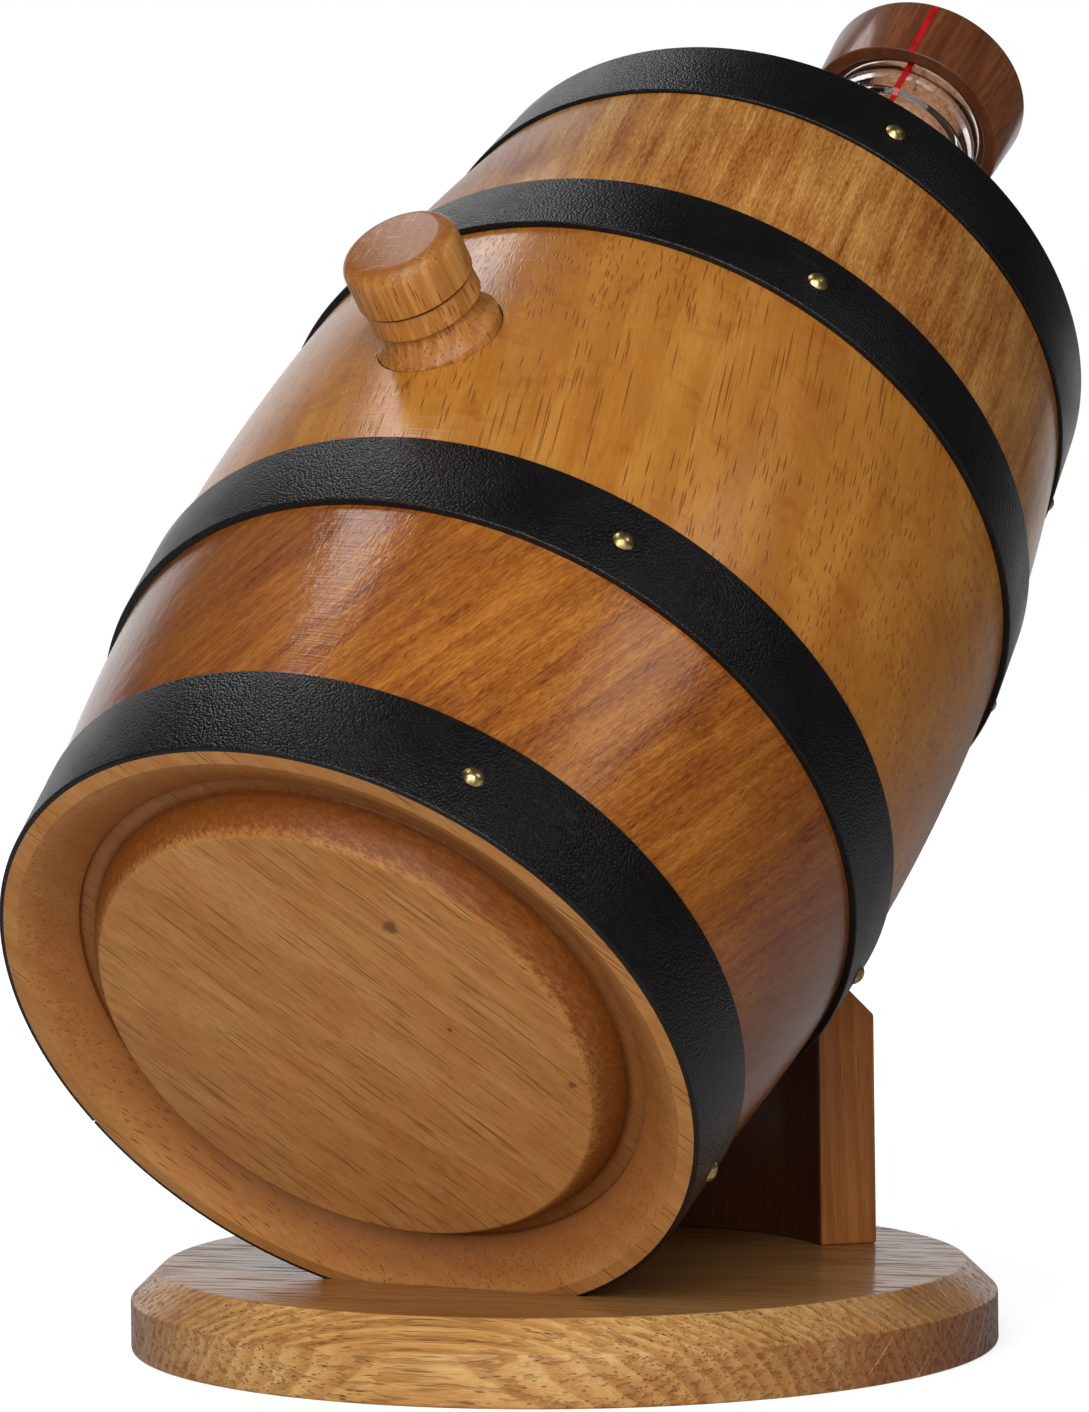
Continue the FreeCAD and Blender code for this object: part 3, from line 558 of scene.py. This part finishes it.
def brass():
    paint = Paint("nail_brass", CASK)
    here = paint.place()
    tarnish = paint.noise(here, (1.6, 1.6, 1.6), 3.0)
    scratch = paint.noise(here, (0.2, 0.9, 0.2), 2.0)
    color = paint.mix(paint.spread(tarnish, 0.35, 0.7), rgb(226, 200, 140), rgb(150, 118, 62))
    rough = paint.spread(tarnish, 0.3, 0.7, 0.26, 0.42)
    paint.set(Base_Color=color, Roughness=rough, Metallic=1.0,
              Normal=paint.bump(scratch, 0.04, 0.5))
    return paint.material


def glass():
    paint = Paint("flask_glass", FLASK)
    ripple = paint.noise(paint.place(), (9.0, 9.0, 22.0), 2.0)
    paint.set(Base_Color=rgb(250, 243, 240), Roughness=0.06, IOR=1.47, Transmission_Weight=1.0,
              Normal=paint.bump(ripple, 0.3, 0.3))
    return paint.material


def cork():
    paint = Paint("cork", FLASK)
    here = paint.place()
    grains, chance = paint.cells(here, (1.6, 1.6, 1.6))
    specks = paint.spread(paint.noise(here, (0.9, 0.9, 1.8), 2.0), 0.58, 0.68)
    color = paint.mix(paint.spread(grains, 0.1, 0.8), rgb(205, 168, 128), rgb(170, 126, 86))
    color = paint.mix(paint.multiply(chance, 0.4), color, rgb(190, 138, 98))
    color = paint.mix(paint.multiply(specks, 0.8), color, rgb(92, 56, 34))
    paint.set(Base_Color=color, Roughness=0.75, Normal=paint.bump(grains, 0.15, 0.5))
    return paint.material


def tape():
    paint = Paint("tape_red", FLASK)
    wear = paint.noise(paint.place(), (1.2, 1.2, 4.0), 2.0)
    color = paint.mix(paint.spread(wear, 0.3, 0.7), rgb(200, 24, 30), rgb(168, 16, 22))
    paint.set(Base_Color=color, Roughness=0.25, Normal=paint.bump(wear, 0.03, 0.3))
    return paint.material


def steel():
    paint = Paint("screw_steel")
    grain = paint.noise(paint.place(), (0.3, 0.3, 0.3), 3.0)
    color = paint.mix(grain, rgb(190, 190, 188), rgb(140, 138, 132))
    paint.set(Base_Color=color, Roughness=0.35, Metallic=1.0, Normal=paint.bump(grain, 0.03, 0.3))
    return paint.material


# Each piece of oak is cut from its own board: fibres, rings and colours differ.

def paint_middle_block():
    paint = Paint("oak_middle", CASK)
    colors = (rgb(208, 148, 68), rgb(178, 114, 40), rgb(142, 78, 18), rgb(112, 54, 12))
    color, relief = oak(paint, colors, MIDDLE_FIBRES, 0.0, (30, 10, 0), pith=260.0, width=9.0,
                        waver=3.0, bands=0.15, clouds=0.6, streaks=0.25, pores=0.75,
                        pore=(0.5, 0.5, 26.0), share=0.36)
    here = paint.place()
    rust = paint.spread(paint.noise(here, (16.0, 16.0, 9.0), 4.0, 0.7, 0.6), 0.5, 0.68)
    color = paint.mix(paint.multiply(rust, 0.5), color, rgb(152, 80, 20))
    knot = paint.spot(here, (-12.0, -88.7, 172.0), 1.6)
    color = paint.mix(paint.multiply(knot, 0.8), color, rgb(70, 30, 10))
    return varnish(paint, color, relief, ripple=0.05, hatch=0.06, coat=0.7, coat_rough=0.12)


def paint_lower_side():
    paint = Paint("oak_lower_side", CASK)
    colors = (rgb(192, 124, 46), rgb(154, 88, 26), rgb(110, 52, 12), rgb(72, 30, 4))
    color, relief = fuzzy_oak(paint, colors, (-0.65, -0.69, 0.33), (11, 3, 0), (38.0, 38.0, 3.4),
                              0.9, 0.6)
    color = paint.mix(paint.multiply(paint.end_grain(LOWER_FIBRES), 0.75), color, rgb(104, 46, 8))
    here = paint.place()
    crack = paint.strokes(here, (0.5, 0.5, 14.0), 0.09)
    color = paint.mix(paint.multiply(crack, 0.7), color, rgb(62, 26, 8))
    return varnish(paint, color, relief, ripple=0.11, hatch=0.05, coat=0.8, coat_rough=0.1)


def paint_lower_face():
    paint = Paint("oak_lower_face", CASK)
    colors = (rgb(204, 152, 92), rgb(176, 122, 66), rgb(144, 90, 42), rgb(84, 44, 18))
    color, relief = oak(paint, colors, FACE_FIBRES, 0.0, (14, 30, 0), pith=95.0, width=7.0,
                        waver=5.5, bands=0.18, clouds=0.4, streaks=0.2, pores=0.8,
                        pore=(0.42, 0.42, 18.0), share=0.27)
    here = paint.place()
    grain = paint.place(FACE_FIBRES)
    z = paint.split(here)[2]
    out = paint.from_axis(here)
    ragged = paint.noise(grain, (1.0, 1.0, 7.0), 3.0, 0.7)
    mottle = paint.noise(grain, (0.5, 0.5, 2.4), 3.0, 0.7)
    # bevel: the oak darkens with depth down the sunk bevel, partly varnish stain and partly painted
    # shade of the recess.
    bevel = paint.spread(paint.total(z, (ragged, 6.0)), 3.0, 6.5)
    # wall: the field's side wall deeper than 2 mm, darkened by varnish stain and by painted shade
    # of the recess.
    wall = paint.multiply(paint.spread(paint.total(z, (ragged, 4.5)), 2.0, 4.6),
                          paint.spread(out, GROOVE_INNER_RADIUS + 1.5, GROOVE_INNER_RADIUS))
    fleck = paint.spread(paint.noise(grain, (0.5, 0.5, 3.0), 3.0, 0.7), 0.5, 0.68)
    blush = paint.spread(paint.noise(here, (18.0, 18.0, 18.0), 3.0, 0.6), 0.42, 0.66)
    color = paint.mix(paint.multiply(fleck, 0.35), color, rgb(128, 78, 36))
    color = paint.mix(paint.multiply(blush, 0.3), color, rgb(168, 98, 42))
    color = paint.mix(paint.multiply(bevel, 0.42), color, rgb(136, 70, 24))
    # Strength of the stain and painted shade on the field's side wall.
    stain_and_shade = paint.spread(paint.math("ADD", ragged, mottle), 0.8, 1.15, 0.5, 0.95)
    color = paint.mix(paint.multiply(wall, stain_and_shade), color, rgb(116, 58, 10))
    # Painted shade in the bottom of the groove.
    groove_shade = paint.spread(z, BEVEL_DEPTH - 1.0, GROOVE_DEPTH - 0.4)
    color = paint.mix(paint.multiply(groove_shade, 0.35), color, rgb(66, 32, 12))
    cut_ends = paint.multiply(paint.spread(mottle, 0.52, 0.7), paint.spread(z, 0.3, 0.8))
    color = paint.mix(paint.multiply(cut_ends, 0.25), color, rgb(190, 124, 62))
    for centre, radius in FACE_SPOTS:
        spot = paint.multiply(paint.spot(here, centre, radius), 0.7)
        color = paint.mix(spot, color, rgb(66, 44, 30))
    return varnish(paint, color, relief, ripple=0.02, coat=0.12, coat_rough=0.3, rough=0.55)


def paint_upper_block():
    paint = Paint("oak_upper", CASK)
    colors = (rgb(220, 170, 96), rgb(182, 122, 56), rgb(136, 70, 18), rgb(92, 40, 8))
    color, relief = fuzzy_oak(paint, colors, (0.77, 0.64, 0.07), (40, 0, 9), (70.0, 34.0, 3.2),
                              0.8, 0.6)
    color = paint.mix(paint.multiply(paint.end_grain(LOWER_FIBRES), 0.5), color, rgb(108, 54, 14))
    stroke = paint.strokes(paint.place(shift=(1, 2, 0)), (0.42, 0.42, 10.0), 0.1)
    color = paint.mix(paint.multiply(stroke, 0.5), color, rgb(86, 40, 14))
    return varnish(paint, color, relief, ripple=0.05, hatch=0.04, coat=0.4, coat_rough=0.16)


def paint_base():
    paint = Paint("oak_base")
    colors = (rgb(238, 198, 134), rgb(202, 150, 84), rgb(122, 56, 16), rgb(88, 46, 18))
    fibres, roll = (0.98, 0.2, 0.0), 32.0
    color, relief = oak(paint, colors, fibres, roll, (0, 0, 0), pith=75.0, width=2.7, waver=4.5,
                        bands=0.28, clouds=0.7, streaks=0.4, pores=0.7, pore=(0.45, 0.45, 16.0),
                        share=0.2, soaked=0.9)
    ray = paint.strokes(paint.place(fibres, roll), (26.0, 0.55, 9.0), 0.2)
    ray = paint.multiply(ray, paint.spread(paint.end_grain(fibres), 0.1, 0.5, 0.0, 0.75))
    color = paint.mix(ray, color, rgb(206, 156, 100))
    furrow = paint.noise(paint.place(fibres, roll), (1.5, 1.5, 24.0), 3.0, 0.6)
    furrow = paint.spread(furrow, 0.54, 0.6)
    color = paint.mix(paint.multiply(furrow, 0.3), color, rgb(96, 48, 18))
    relief = paint.total(0.0, (relief, 1.0), (furrow, -1.2))
    # Painted shade: faces that look up, the base's top, are darker, standing in for the shadow
    # under the cask.
    top = paint.split(paint.node("ShaderNodeTexCoord").outputs["Normal"])[2]
    color = paint.mix(paint.spread(top, 0.8, 0.98, 0.0, 0.5), color, rgb(112, 60, 22))
    return varnish(paint, color, relief, ripple=0.02, coat=0.55, coat_rough=0.1, depth=0.14,
                   sunk=1.0, bare=furrow)


def paint_wall():
    paint = Paint("oak_wall")
    colors = (rgb(186, 126, 68), rgb(152, 92, 42), rgb(112, 62, 26), rgb(64, 30, 12))
    color, relief = oak(paint, colors, shift=(0, 20, 0), pith=150.0, width=3.4, waver=3.0,
                        bands=0.2, clouds=0.5, streaks=0.4, pores=0.5, pore=(0.4, 0.4, 7.0),
                        share=0.2)
    # Painted shade: the wall's inner face, which lies in the cask's shadow, is painted dark.
    inner_face_shade = paint.spread(paint.from_axis(paint.place()), WALL_INNER_RADIUS + 0.6,
                          WALL_INNER_RADIUS + 0.2)
    color = paint.mix(paint.multiply(inner_face_shade, 0.85), color, rgb(58, 26, 12))
    return varnish(paint, color, relief, coat=0.2, coat_rough=0.22)


def paint_bung():
    paint = Paint("oak_bung", BUNG)
    colors = (rgb(214, 158, 92), rgb(182, 120, 56), rgb(134, 76, 28), rgb(92, 48, 18))
    color, relief = oak(paint, colors, shift=(5, 8, 0), pith=40.0, width=3.0, waver=1.5,
                        bands=0.3, clouds=0.5, streaks=0.8, pores=0.7, pore=(0.5, 0.5, 6.0),
                        share=0.27, soaked=0.8)
    here = paint.place()
    sawn = paint.noise(here, (0.35, 9.0, 3.0), 2.0, 0.6)
    crossed = paint.noise(here, (7.0, 0.45, 3.0), 2.0, 0.6)
    mark = paint.multiply(paint.spread(paint.math("MAXIMUM", sawn, crossed), 0.6, 0.74),
                          paint.end_grain((0, 0, 1)))
    color = paint.mix(paint.multiply(mark, 0.45), color, rgb(224, 180, 128))
    return varnish(paint, color, relief, ripple=0.04, coat=0.3, coat_rough=0.17)


def paint_stopper():
    paint = Paint("stopper_wood", FLASK)
    colors = (rgb(150, 90, 50), rgb(112, 62, 32), rgb(74, 36, 18), rgb(36, 16, 8))
    color, relief = oak(paint, colors, shift=(5, 8, 0), pith=60.0, width=7.0, waver=2.0,
                        bands=0.3, clouds=0.6, streaks=0.9, pores=0.6, pore=(0.42, 0.42, 8.0),
                        share=0.2)
    return varnish(paint, color, relief, ripple=0.03, coat=0.5, coat_rough=0.14)


# Stand.

def make_base():
    width, height = BASE_CHAMFER
    outline = soften([(0.0, 0.0), (BASE_RADIUS, 0.0, 0.8),
                      (BASE_RADIUS, BASE_THICKNESS - height, 0.9),
                      (BASE_RADIUS - width, BASE_THICKNESS, 0.9), (0.0, BASE_THICKNESS)])
    disc = lathe("base_board", outline, ROW, segments=320)
    heel = lathe("heel_cutter", [
        (0.0, -SEAT_CLEARANCE), (RIM_OUTER + SEAT_CLEARANCE, -SEAT_CLEARANCE),
        (STRAP_EDGE_RADIUS + END_STRAP_THICKNESS + SEAT_CLEARANCE, END_STRAP_WIDTH),
        (0.0, END_STRAP_WIDTH)], CASK)
    cut(disc, heel)
    dress(disc, "stand", "base_disc", paint_base())


def make_wall():
    outer = WALL_OUTER_RADIUS
    slope = WALL_THICKNESS - WALL_RIM_WIDTH
    outline = soften([
        (WALL_INNER_RADIUS, BASE_THICKNESS), (outer, BASE_THICKNESS),
        (outer, WALL_HEIGHT - slope, 1.0), (WALL_INNER_RADIUS + WALL_RIM_WIDTH, WALL_HEIGHT, 0.8),
        (WALL_INNER_RADIUS, WALL_HEIGHT, 0.6)])
    wall = lathe("curved_wall", outline, ROW, segments=64, start=math.pi / 2 - WALL_SPAN / 2,
                 sweep=WALL_SPAN)
    bevel = wall.modifiers.new("arris", "BEVEL")
    bevel.width = WALL_ARRIS * MM
    bevel.segments = 3
    bevel.limit_method = "ANGLE"
    bevel.angle_limit = math.radians(60)
    bake_modifiers(wall)
    dress(wall, "stand", "support_wall", paint_wall())


# Cask.

def end_face(flip=False):
    """Turned end face, from the field's edge out to the rim."""
    corners = [(FIELD_RADIUS, 0.0, 1.3)]
    corners += sag((FIELD_RADIUS, 0.0), (GROOVE_INNER_RADIUS, GROOVE_DEPTH), 0.8, 6)[1:]
    corners += [(GROOVE_INNER_RADIUS, GROOVE_DEPTH, 0.8), (GROOVE_OUTER_RADIUS, GROOVE_DEPTH, 0.25),
                (GROOVE_OUTER_RADIUS, BEVEL_DEPTH, 0.3)]
    corners += sag((GROOVE_OUTER_RADIUS, BEVEL_DEPTH), (RING_INNER_RADIUS, 0.0), 0.45, 6)
    corners += [(RING_INNER_RADIUS, 0.0, 0.6), (RIM_RADIUS, 0.0)]
    if flip:
        corners = [(corner[0], CASK_LENGTH - corner[1], *corner[2:]) for corner in corners]
    return corners


def side(start, end, step=2.5):
    """The oak's side between two stations."""
    count = max(2, round(abs(end - start) / step))
    stations = [start + (end - start) * index / count for index in range(count + 1)]
    return [(belly(station), station) for station in stations]


def repaint_end(block, material, chosen):
    """Give the faces at chosen stations another material."""
    block.data.materials.append(material)
    back = CASK.inverted()
    for face in block.data.polygons:
        if chosen((back @ face.center).z / MM):
            face.material_index = 1


def make_lower_block():
    outline = soften([(0.0, 0.0)] + end_face() + side(1.0, BLOCK_JOINT) + [
        (SPIGOT_RADIUS, BLOCK_JOINT), (SPIGOT_RADIUS, BLOCK_JOINT + SPIGOT_HEIGHT),
        (BORE_RADIUS, BLOCK_JOINT + SPIGOT_HEIGHT), (BORE_RADIUS, HEAD_THICKNESS),
        (0.0, HEAD_THICKNESS)])
    block = lathe("lower_oak", outline, CASK, segments=320)
    dress(block, "cask", "lower_block", paint_lower_side())
    repaint_end(block, paint_lower_face(), lambda station: station < GROOVE_DEPTH + 1.0)


def make_middle_block():
    joint = CASK_LENGTH - BLOCK_JOINT
    outline = side(BLOCK_JOINT, joint) + [
        (SPIGOT_RADIUS, joint), (SPIGOT_RADIUS, joint + SPIGOT_HEIGHT),
        (BORE_RADIUS, joint + SPIGOT_HEIGHT), (BORE_RADIUS, BLOCK_JOINT + SPIGOT_HEIGHT),
        (SPIGOT_RADIUS, BLOCK_JOINT + SPIGOT_HEIGHT), (SPIGOT_RADIUS, BLOCK_JOINT)]
    block = lathe("middle_oak", outline, CASK, segments=320)
    hole = lathe("bung_cutter", [
        (0.0, -BUNG_HOLE_DEPTH), (BUNG_HOLE_RADIUS, -BUNG_HOLE_DEPTH),
        (BUNG_HOLE_RADIUS, BUNG_HEIGHT), (0.0, BUNG_HEIGHT)], BUNG, segments=128)
    cut(block, hole)
    dress(block, "cask", "middle_block", paint_middle_block())


def make_upper_block():
    joint = CASK_LENGTH - BLOCK_JOINT
    outline = soften([(NECK_HOLE_RADIUS, CASK_LENGTH, 1.0)] + end_face(flip=True)
                     + side(CASK_LENGTH - 1.0, joint) + [
        (SPIGOT_RADIUS, joint), (SPIGOT_RADIUS, joint + SPIGOT_HEIGHT),
        (BORE_RADIUS, joint + SPIGOT_HEIGHT), (BORE_RADIUS, CASK_LENGTH - HEAD_THICKNESS),
        (NECK_HOLE_RADIUS, CASK_LENGTH - HEAD_THICKNESS)])
    block = lathe("upper_oak", outline, CASK, segments=320)
    dress(block, "cask", "upper_block", paint_upper_block())


def front_nail(place):
    """Turn from the cask's +X to the front nail; the cask's top is at 270 degrees."""
    return math.radians(270.0 + FRONT_NAILS[place])


def strap_outline(start, end, thickness):
    """A band that lies on the oak; its outside is straight across, its edges are rounded."""
    return soften([(belly(start) + thickness, start, STRAP_ROUND),
                   (belly(end) + thickness, end, STRAP_ROUND)] + side(end, start))


def make_straps(material):
    belly_end = BELLY_STRAP_START + BELLY_STRAP_WIDTH
    places = {
        "lower_end": (0.0, END_STRAP_WIDTH, END_STRAP_THICKNESS),
        "lower_belly": (BELLY_STRAP_START, belly_end, BELLY_STRAP_THICKNESS),
        "upper_belly": (CASK_LENGTH - belly_end, CASK_LENGTH - BELLY_STRAP_START,
                        BELLY_STRAP_THICKNESS),
        "upper_end": (CASK_LENGTH - END_STRAP_WIDTH, CASK_LENGTH, END_STRAP_THICKNESS),
    }
    for place, (start, end, thickness) in places.items():
        gap = STRAP_SEAM_GAP / belly((start + end) / 2)
        seam = front_nail(place) + NAIL_STEP * (NAILS_PER_STRAP - 1.5)
        strap = lathe(place + "_band", strap_outline(start, end, thickness), CASK, segments=300,
                      start=seam + gap / 2, sweep=math.tau - gap)
        dress(strap, "cask", place + "_strap", material)
    return places


def make_nails(places, material):
    for number, (place, (start, end, thickness)) in enumerate(places.items()):
        station = (start + end) / 2
        seat = (belly(start) + belly(end)) / 2 + thickness
        dome = [(0.0, NAIL_HEAD_HEIGHT)]
        curve = (NAIL_HEAD_RADIUS ** 2 + NAIL_HEAD_HEIGHT ** 2) / (2 * NAIL_HEAD_HEIGHT)
        full = math.asin(NAIL_HEAD_RADIUS / curve)
        for step in range(1, DOME_STEPS + 1):
            angle = full * step / DOME_STEPS
            dome.append((curve * math.sin(angle), NAIL_HEAD_HEIGHT - curve * (1 - math.cos(angle))))
        outline = dome + [(NAIL_HEAD_RADIUS - NAIL_HEAD_EDGE, -NAIL_HEAD_SUNK),
                          (NAIL_SHANK_RADIUS, -NAIL_HEAD_SUNK),
                          (NAIL_SHANK_RADIUS, NAIL_POINT_LENGTH - NAIL_LENGTH), (0.0, -NAIL_LENGTH)]
        shapes = []
        for turn in range(NAILS_PER_STRAP):
            angle = front_nail(place) + NAIL_STEP * turn
            matrix = (Matrix.Rotation(angle, 4, "Z")
                      @ Matrix.Translation(Vector((seat, 0.0, station)) * MM)
                      @ Matrix.Rotation(math.pi / 2, 4, "Y"))
            nail = lathe(f"{place}_nail_{turn}", outline, ROW, segments=32)
            wobble(nail, 0.1, 1.7, number * NAILS_PER_STRAP + turn + 1)
            nail.data.transform(matrix)
            shapes.append(nail)
        shape = bmesh.new()
        for nail in shapes:
            shape.from_mesh(nail.data)
            bpy.data.objects.remove(nail)
        mesh = bpy.data.meshes.new(place + "_brads")
        shape.to_mesh(mesh)
        shape.free()
        finish_mesh(mesh)
        nails = add_object(place + "_brads", mesh, CASK)
        dress(nails, "cask", place + "_nails", material)


def make_bung():
    foot = SEAT_CLEARANCE - BUNG_HOLE_DEPTH
    plug = BUNG_HOLE_RADIUS - SEAT_CLEARANCE
    flare = sag((plug, BUNG_FLANGE_HEIGHT), BUNG_NECK, BUNG_FLARE_SAG)
    outline = soften([
        (0.0, foot), (plug - BUNG_TAPER, foot, 0.5), (plug, BUNG_TAPER_START),
        (plug, BUNG_FLANGE_HEIGHT, 0.15)] + flare + [
        BUNG_NECK, (*BUNG_BAND, 0.5), (*BUNG_BAND_TOP, 0.35),
        (BUNG_GROOVE_RADIUS, BUNG_BAND_TOP[1]), (BUNG_GROOVE_RADIUS, BUNG_KNOB_FOOT),
        (BUNG_KNOB_RADIUS, BUNG_KNOB_FOOT, 0.35), (BUNG_KNOB_RADIUS, BUNG_HEIGHT, BUNG_EDGE_RADIUS),
        (0.0, BUNG_HEIGHT)], steps=7)
    bung = lathe("bung_plug", outline, BUNG, segments=160)
    dress(bung, "bung", "bung", paint_bung())


# Flask and stopper.

def make_flask():
    foot = HEAD_THICKNESS + FLASK_PAD
    floor = foot + FLASK_FLOOR
    throat = CASK_LENGTH - HEAD_THICKNESS - THROAT_MARGIN
    turned = throat - FLASK_THROAT_RISE
    shoulder = turned - FLASK_SHOULDER_RISE
    lip_foot = MOUTH_STATION - LIP_HEIGHT
    inside = FLASK_RADIUS - FLASK_WALL
    outline = soften([
        (0.0, foot), (FLASK_RADIUS, foot, FLASK_HEEL_RADIUS), (FLASK_RADIUS, shoulder, FLASK_ROUND),
        (FLASK_SHOULDER_RADIUS, turned, FLASK_ROUND), (NECK_RADIUS, throat, FLASK_ROUND),
        (NECK_RADIUS, lip_foot - LIP_STEP, 0.8), (LIP_RADIUS, lip_foot, 1.0),
        (LIP_RADIUS, MOUTH_STATION, 1.2), (MOUTH_BORE_RADIUS, MOUTH_STATION, 1.0),
        (MOUTH_BORE_RADIUS, throat, FLASK_INNER_ROUND),
        (FLASK_SHOULDER_RADIUS - FLASK_WALL, turned - FLASK_WALL, FLASK_INNER_ROUND),
        (inside, shoulder - FLASK_WALL, FLASK_INNER_ROUND), (inside, floor, 4.0), (0.0, floor)])
    flask = lathe("flask", outline, FLASK, segments=192)
    dress(flask, "cask", "glass_flask", glass())


def make_stopper():
    top = STOPPER_FOOT + STOPPER_HEIGHT
    skirt = LIP_RADIUS + STOPPER_SKIRT_PLAY
    outline = soften([
        (0.0, STOPPER_SEAT + CORK_SOCKET), (CORK_RADIUS, STOPPER_SEAT + CORK_SOCKET),
        (CORK_RADIUS, STOPPER_SEAT), (skirt, STOPPER_SEAT), (skirt, STOPPER_FOOT, 0.4),
        (STOPPER_FOOT_RADIUS, STOPPER_FOOT, 0.5), (STOPPER_TOP_RADIUS, top, STOPPER_EDGE_RADIUS),
        (0.0, top)])
    head = lathe("stopper_knob", outline, FLASK, segments=192)
    dress(head, "stopper", "stopper_head", paint_stopper())


def paint_frame_nodes():
    """Nodes whose CAD shape is right keep it and get their material."""
    materials = {
        "stopper_cork": cork(), "flask_base_pad": cork(), "wall_screws": steel(),
        "stopper_stripe": tape(), "neck_stripe": tape(),
    }
    for node, material in materials.items():
        piece = frame["nodes"][node]
        piece.data.materials.clear()
        piece.data.materials.append(material)
        for face in piece.data.polygons:
            face.material_index = 0


# Studio.

def screen_rays(tree, *kinds):
    """1 for those kinds of rays, 0 for the others."""
    path = tree.nodes.new("ShaderNodeLightPath")
    seen = path.outputs[kinds[0]]
    for kind in kinds[1:]:
        either = tree.nodes.new("ShaderNodeMath")
        either.operation = "MAXIMUM"
        tree.links.new(seen, either.inputs[0])
        tree.links.new(path.outputs[kind], either.inputs[1])
        seen = either.outputs[0]
    return seen


def make_floor():
    """A pale floor. A glow that lights nothing carries the open floor to white, and is weaker
    round the object so that its shadow stays."""
    shape = bmesh.new()
    bmesh.ops.create_grid(shape, x_segments=1, y_segments=1, size=FLOOR_REACH)
    mesh = bpy.data.meshes.new("floor")
    shape.to_mesh(mesh)
    shape.free()
    floor = add_object("floor", mesh, ROW)
    paint = Paint("floor_pale")
    grain = paint.noise(paint.place(), (300.0, 300.0, 300.0), 2.0)
    color = paint.mix(grain, rgb(204, 204, 204), rgb(210, 210, 210))
    away = paint.node("ShaderNodeVectorMath", {0: paint.place()}, operation="LENGTH")
    glow = paint.spread(away.outputs["Value"], *FLOOR_GLOW_EDGE, *FLOOR_GLOW)
    glow = paint.multiply(screen_rays(paint.tree, "Is Camera Ray", "Is Transmission Ray"), glow)
    paint.set(Base_Color=color, Roughness=0.7, Specular_IOR_Level=0.2,
              Emission_Color=rgb(255, 255, 255), Emission_Strength=glow)
    mesh.materials.append(paint.material)


def add_light(name, place, width, height, radiance, along=(1, 0, 0)):
    """A soft panel that faces the object, its width along a way. A radiance of 1 is as bright as
    white paper in full light."""
    light = bpy.data.lights.new(name, "AREA")
    light.shape = "RECTANGLE"
    light.size = width
    light.size_y = height
    light.energy = radiance * math.pi * width * height
    lamp = bpy.data.objects.new(name, light)
    bpy.context.scene.collection.objects.link(lamp)
    back = (Vector(place) - Vector(LIGHT_TARGET)).normalized()
    side = (Vector(along) - back * back.dot(along)).normalized()
    turn = Matrix((side, back.cross(side), back)).transposed().to_4x4()
    lamp.matrix_world = Matrix.Translation(place) @ turn


def make_world():
    """White to the camera and through glass. Otherwise a dim room with a white backdrop behind the
    object."""
    world = bpy.data.worlds.new("studio")
    world.use_nodes = True
    tree = world.node_tree
    background = tree.nodes["Background"]
    way = tree.nodes.new("ShaderNodeTexCoord").outputs["Generated"]
    ahead = tree.nodes.new("ShaderNodeVectorMath")
    ahead.operation = "DOT_PRODUCT"
    tree.links.new(way, ahead.inputs[0])
    ahead.inputs[1].default_value = Vector(BACKDROP_WAY).normalized()
    backdrop = tree.nodes.new("ShaderNodeMapRange")
    backdrop.interpolation_type = "SMOOTHSTEP"
    for socket, value in zip(("From Min", "From Max"), BACKDROP_EDGE):
        backdrop.inputs[socket].default_value = value
    room = tree.nodes.new("ShaderNodeMapRange")
    room.inputs["To Min"].default_value = ROOM_LEVEL
    room.inputs["To Max"].default_value = ROOM_SHINE
    tree.links.new(screen_rays(tree, "Is Glossy Ray"), room.inputs["Value"])
    tree.links.new(room.outputs["Result"], backdrop.inputs["To Min"])
    tree.links.new(ahead.outputs["Value"], backdrop.inputs["Value"])
    level = tree.nodes.new("ShaderNodeMath")
    level.operation = "MAXIMUM"
    tree.links.new(screen_rays(tree, "Is Camera Ray", "Is Transmission Ray"), level.inputs[0])
    tree.links.new(backdrop.outputs["Result"], level.inputs[1])
    tree.links.new(level.outputs[0], background.inputs["Strength"])
    background.inputs["Color"].default_value = (1, 1, 1, 1)
    bpy.context.scene.world = world


def make_studio():
    make_world()
    add_light("key", (0.45, -1.28, 0.65), 1.3, 1.2, 4.3, (0.94, 0.33, 0))
    add_light("left_strip", (-0.61, 0.17, 1.32), 1.05, 0.22, 4.5, (-0.33, 0.89, -0.31))
    add_light("right_box", (1.05, 0.11, 1.07), 0.5, 0.5, 1.6)


# Camera at the photograph's place, for its 1089 by 1412 frame.
FRAME_HEIGHT = 1412.0
CAMERA_PLACE = Vector((529.2, -951.7, 164.9))
CAMERA_TURN = math.radians(29.4)
CAMERA_PITCH = math.radians(-0.0423)
CAMERA_ROLL = math.radians(-0.682)
FOCAL_LENGTH = 4799.7
FRAME_SHIFT = (15.5, -90.8)
SENSOR = 36.0


def make_camera():
    data = bpy.data.cameras.new("camera")
    data.sensor_width = SENSOR
    data.lens = FOCAL_LENGTH / FRAME_HEIGHT * SENSOR
    data.shift_x = FRAME_SHIFT[0] / FRAME_HEIGHT
    data.shift_y = FRAME_SHIFT[1] / FRAME_HEIGHT
    data.clip_end = 50.0
    camera = bpy.data.objects.new("camera", data)
    bpy.context.scene.collection.objects.link(camera)
    camera.matrix_world = (Matrix.Translation(CAMERA_PLACE * MM)
                           @ Matrix.Rotation(CAMERA_TURN, 4, "Z")
                           @ Matrix.Rotation(math.pi / 2 + CAMERA_PITCH, 4, "X")
                           @ Matrix.Rotation(CAMERA_ROLL, 4, "Z"))
    bpy.context.scene.camera = camera


make_base()
make_wall()
make_lower_block()
make_middle_block()
make_upper_block()
strap_places = make_straps(leather())
make_nails(strap_places, brass())
make_bung()
make_flask()
make_stopper()
paint_frame_nodes()
make_floor()
make_studio()
make_camera()
bpy.context.scene.view_settings.view_transform = "Standard"
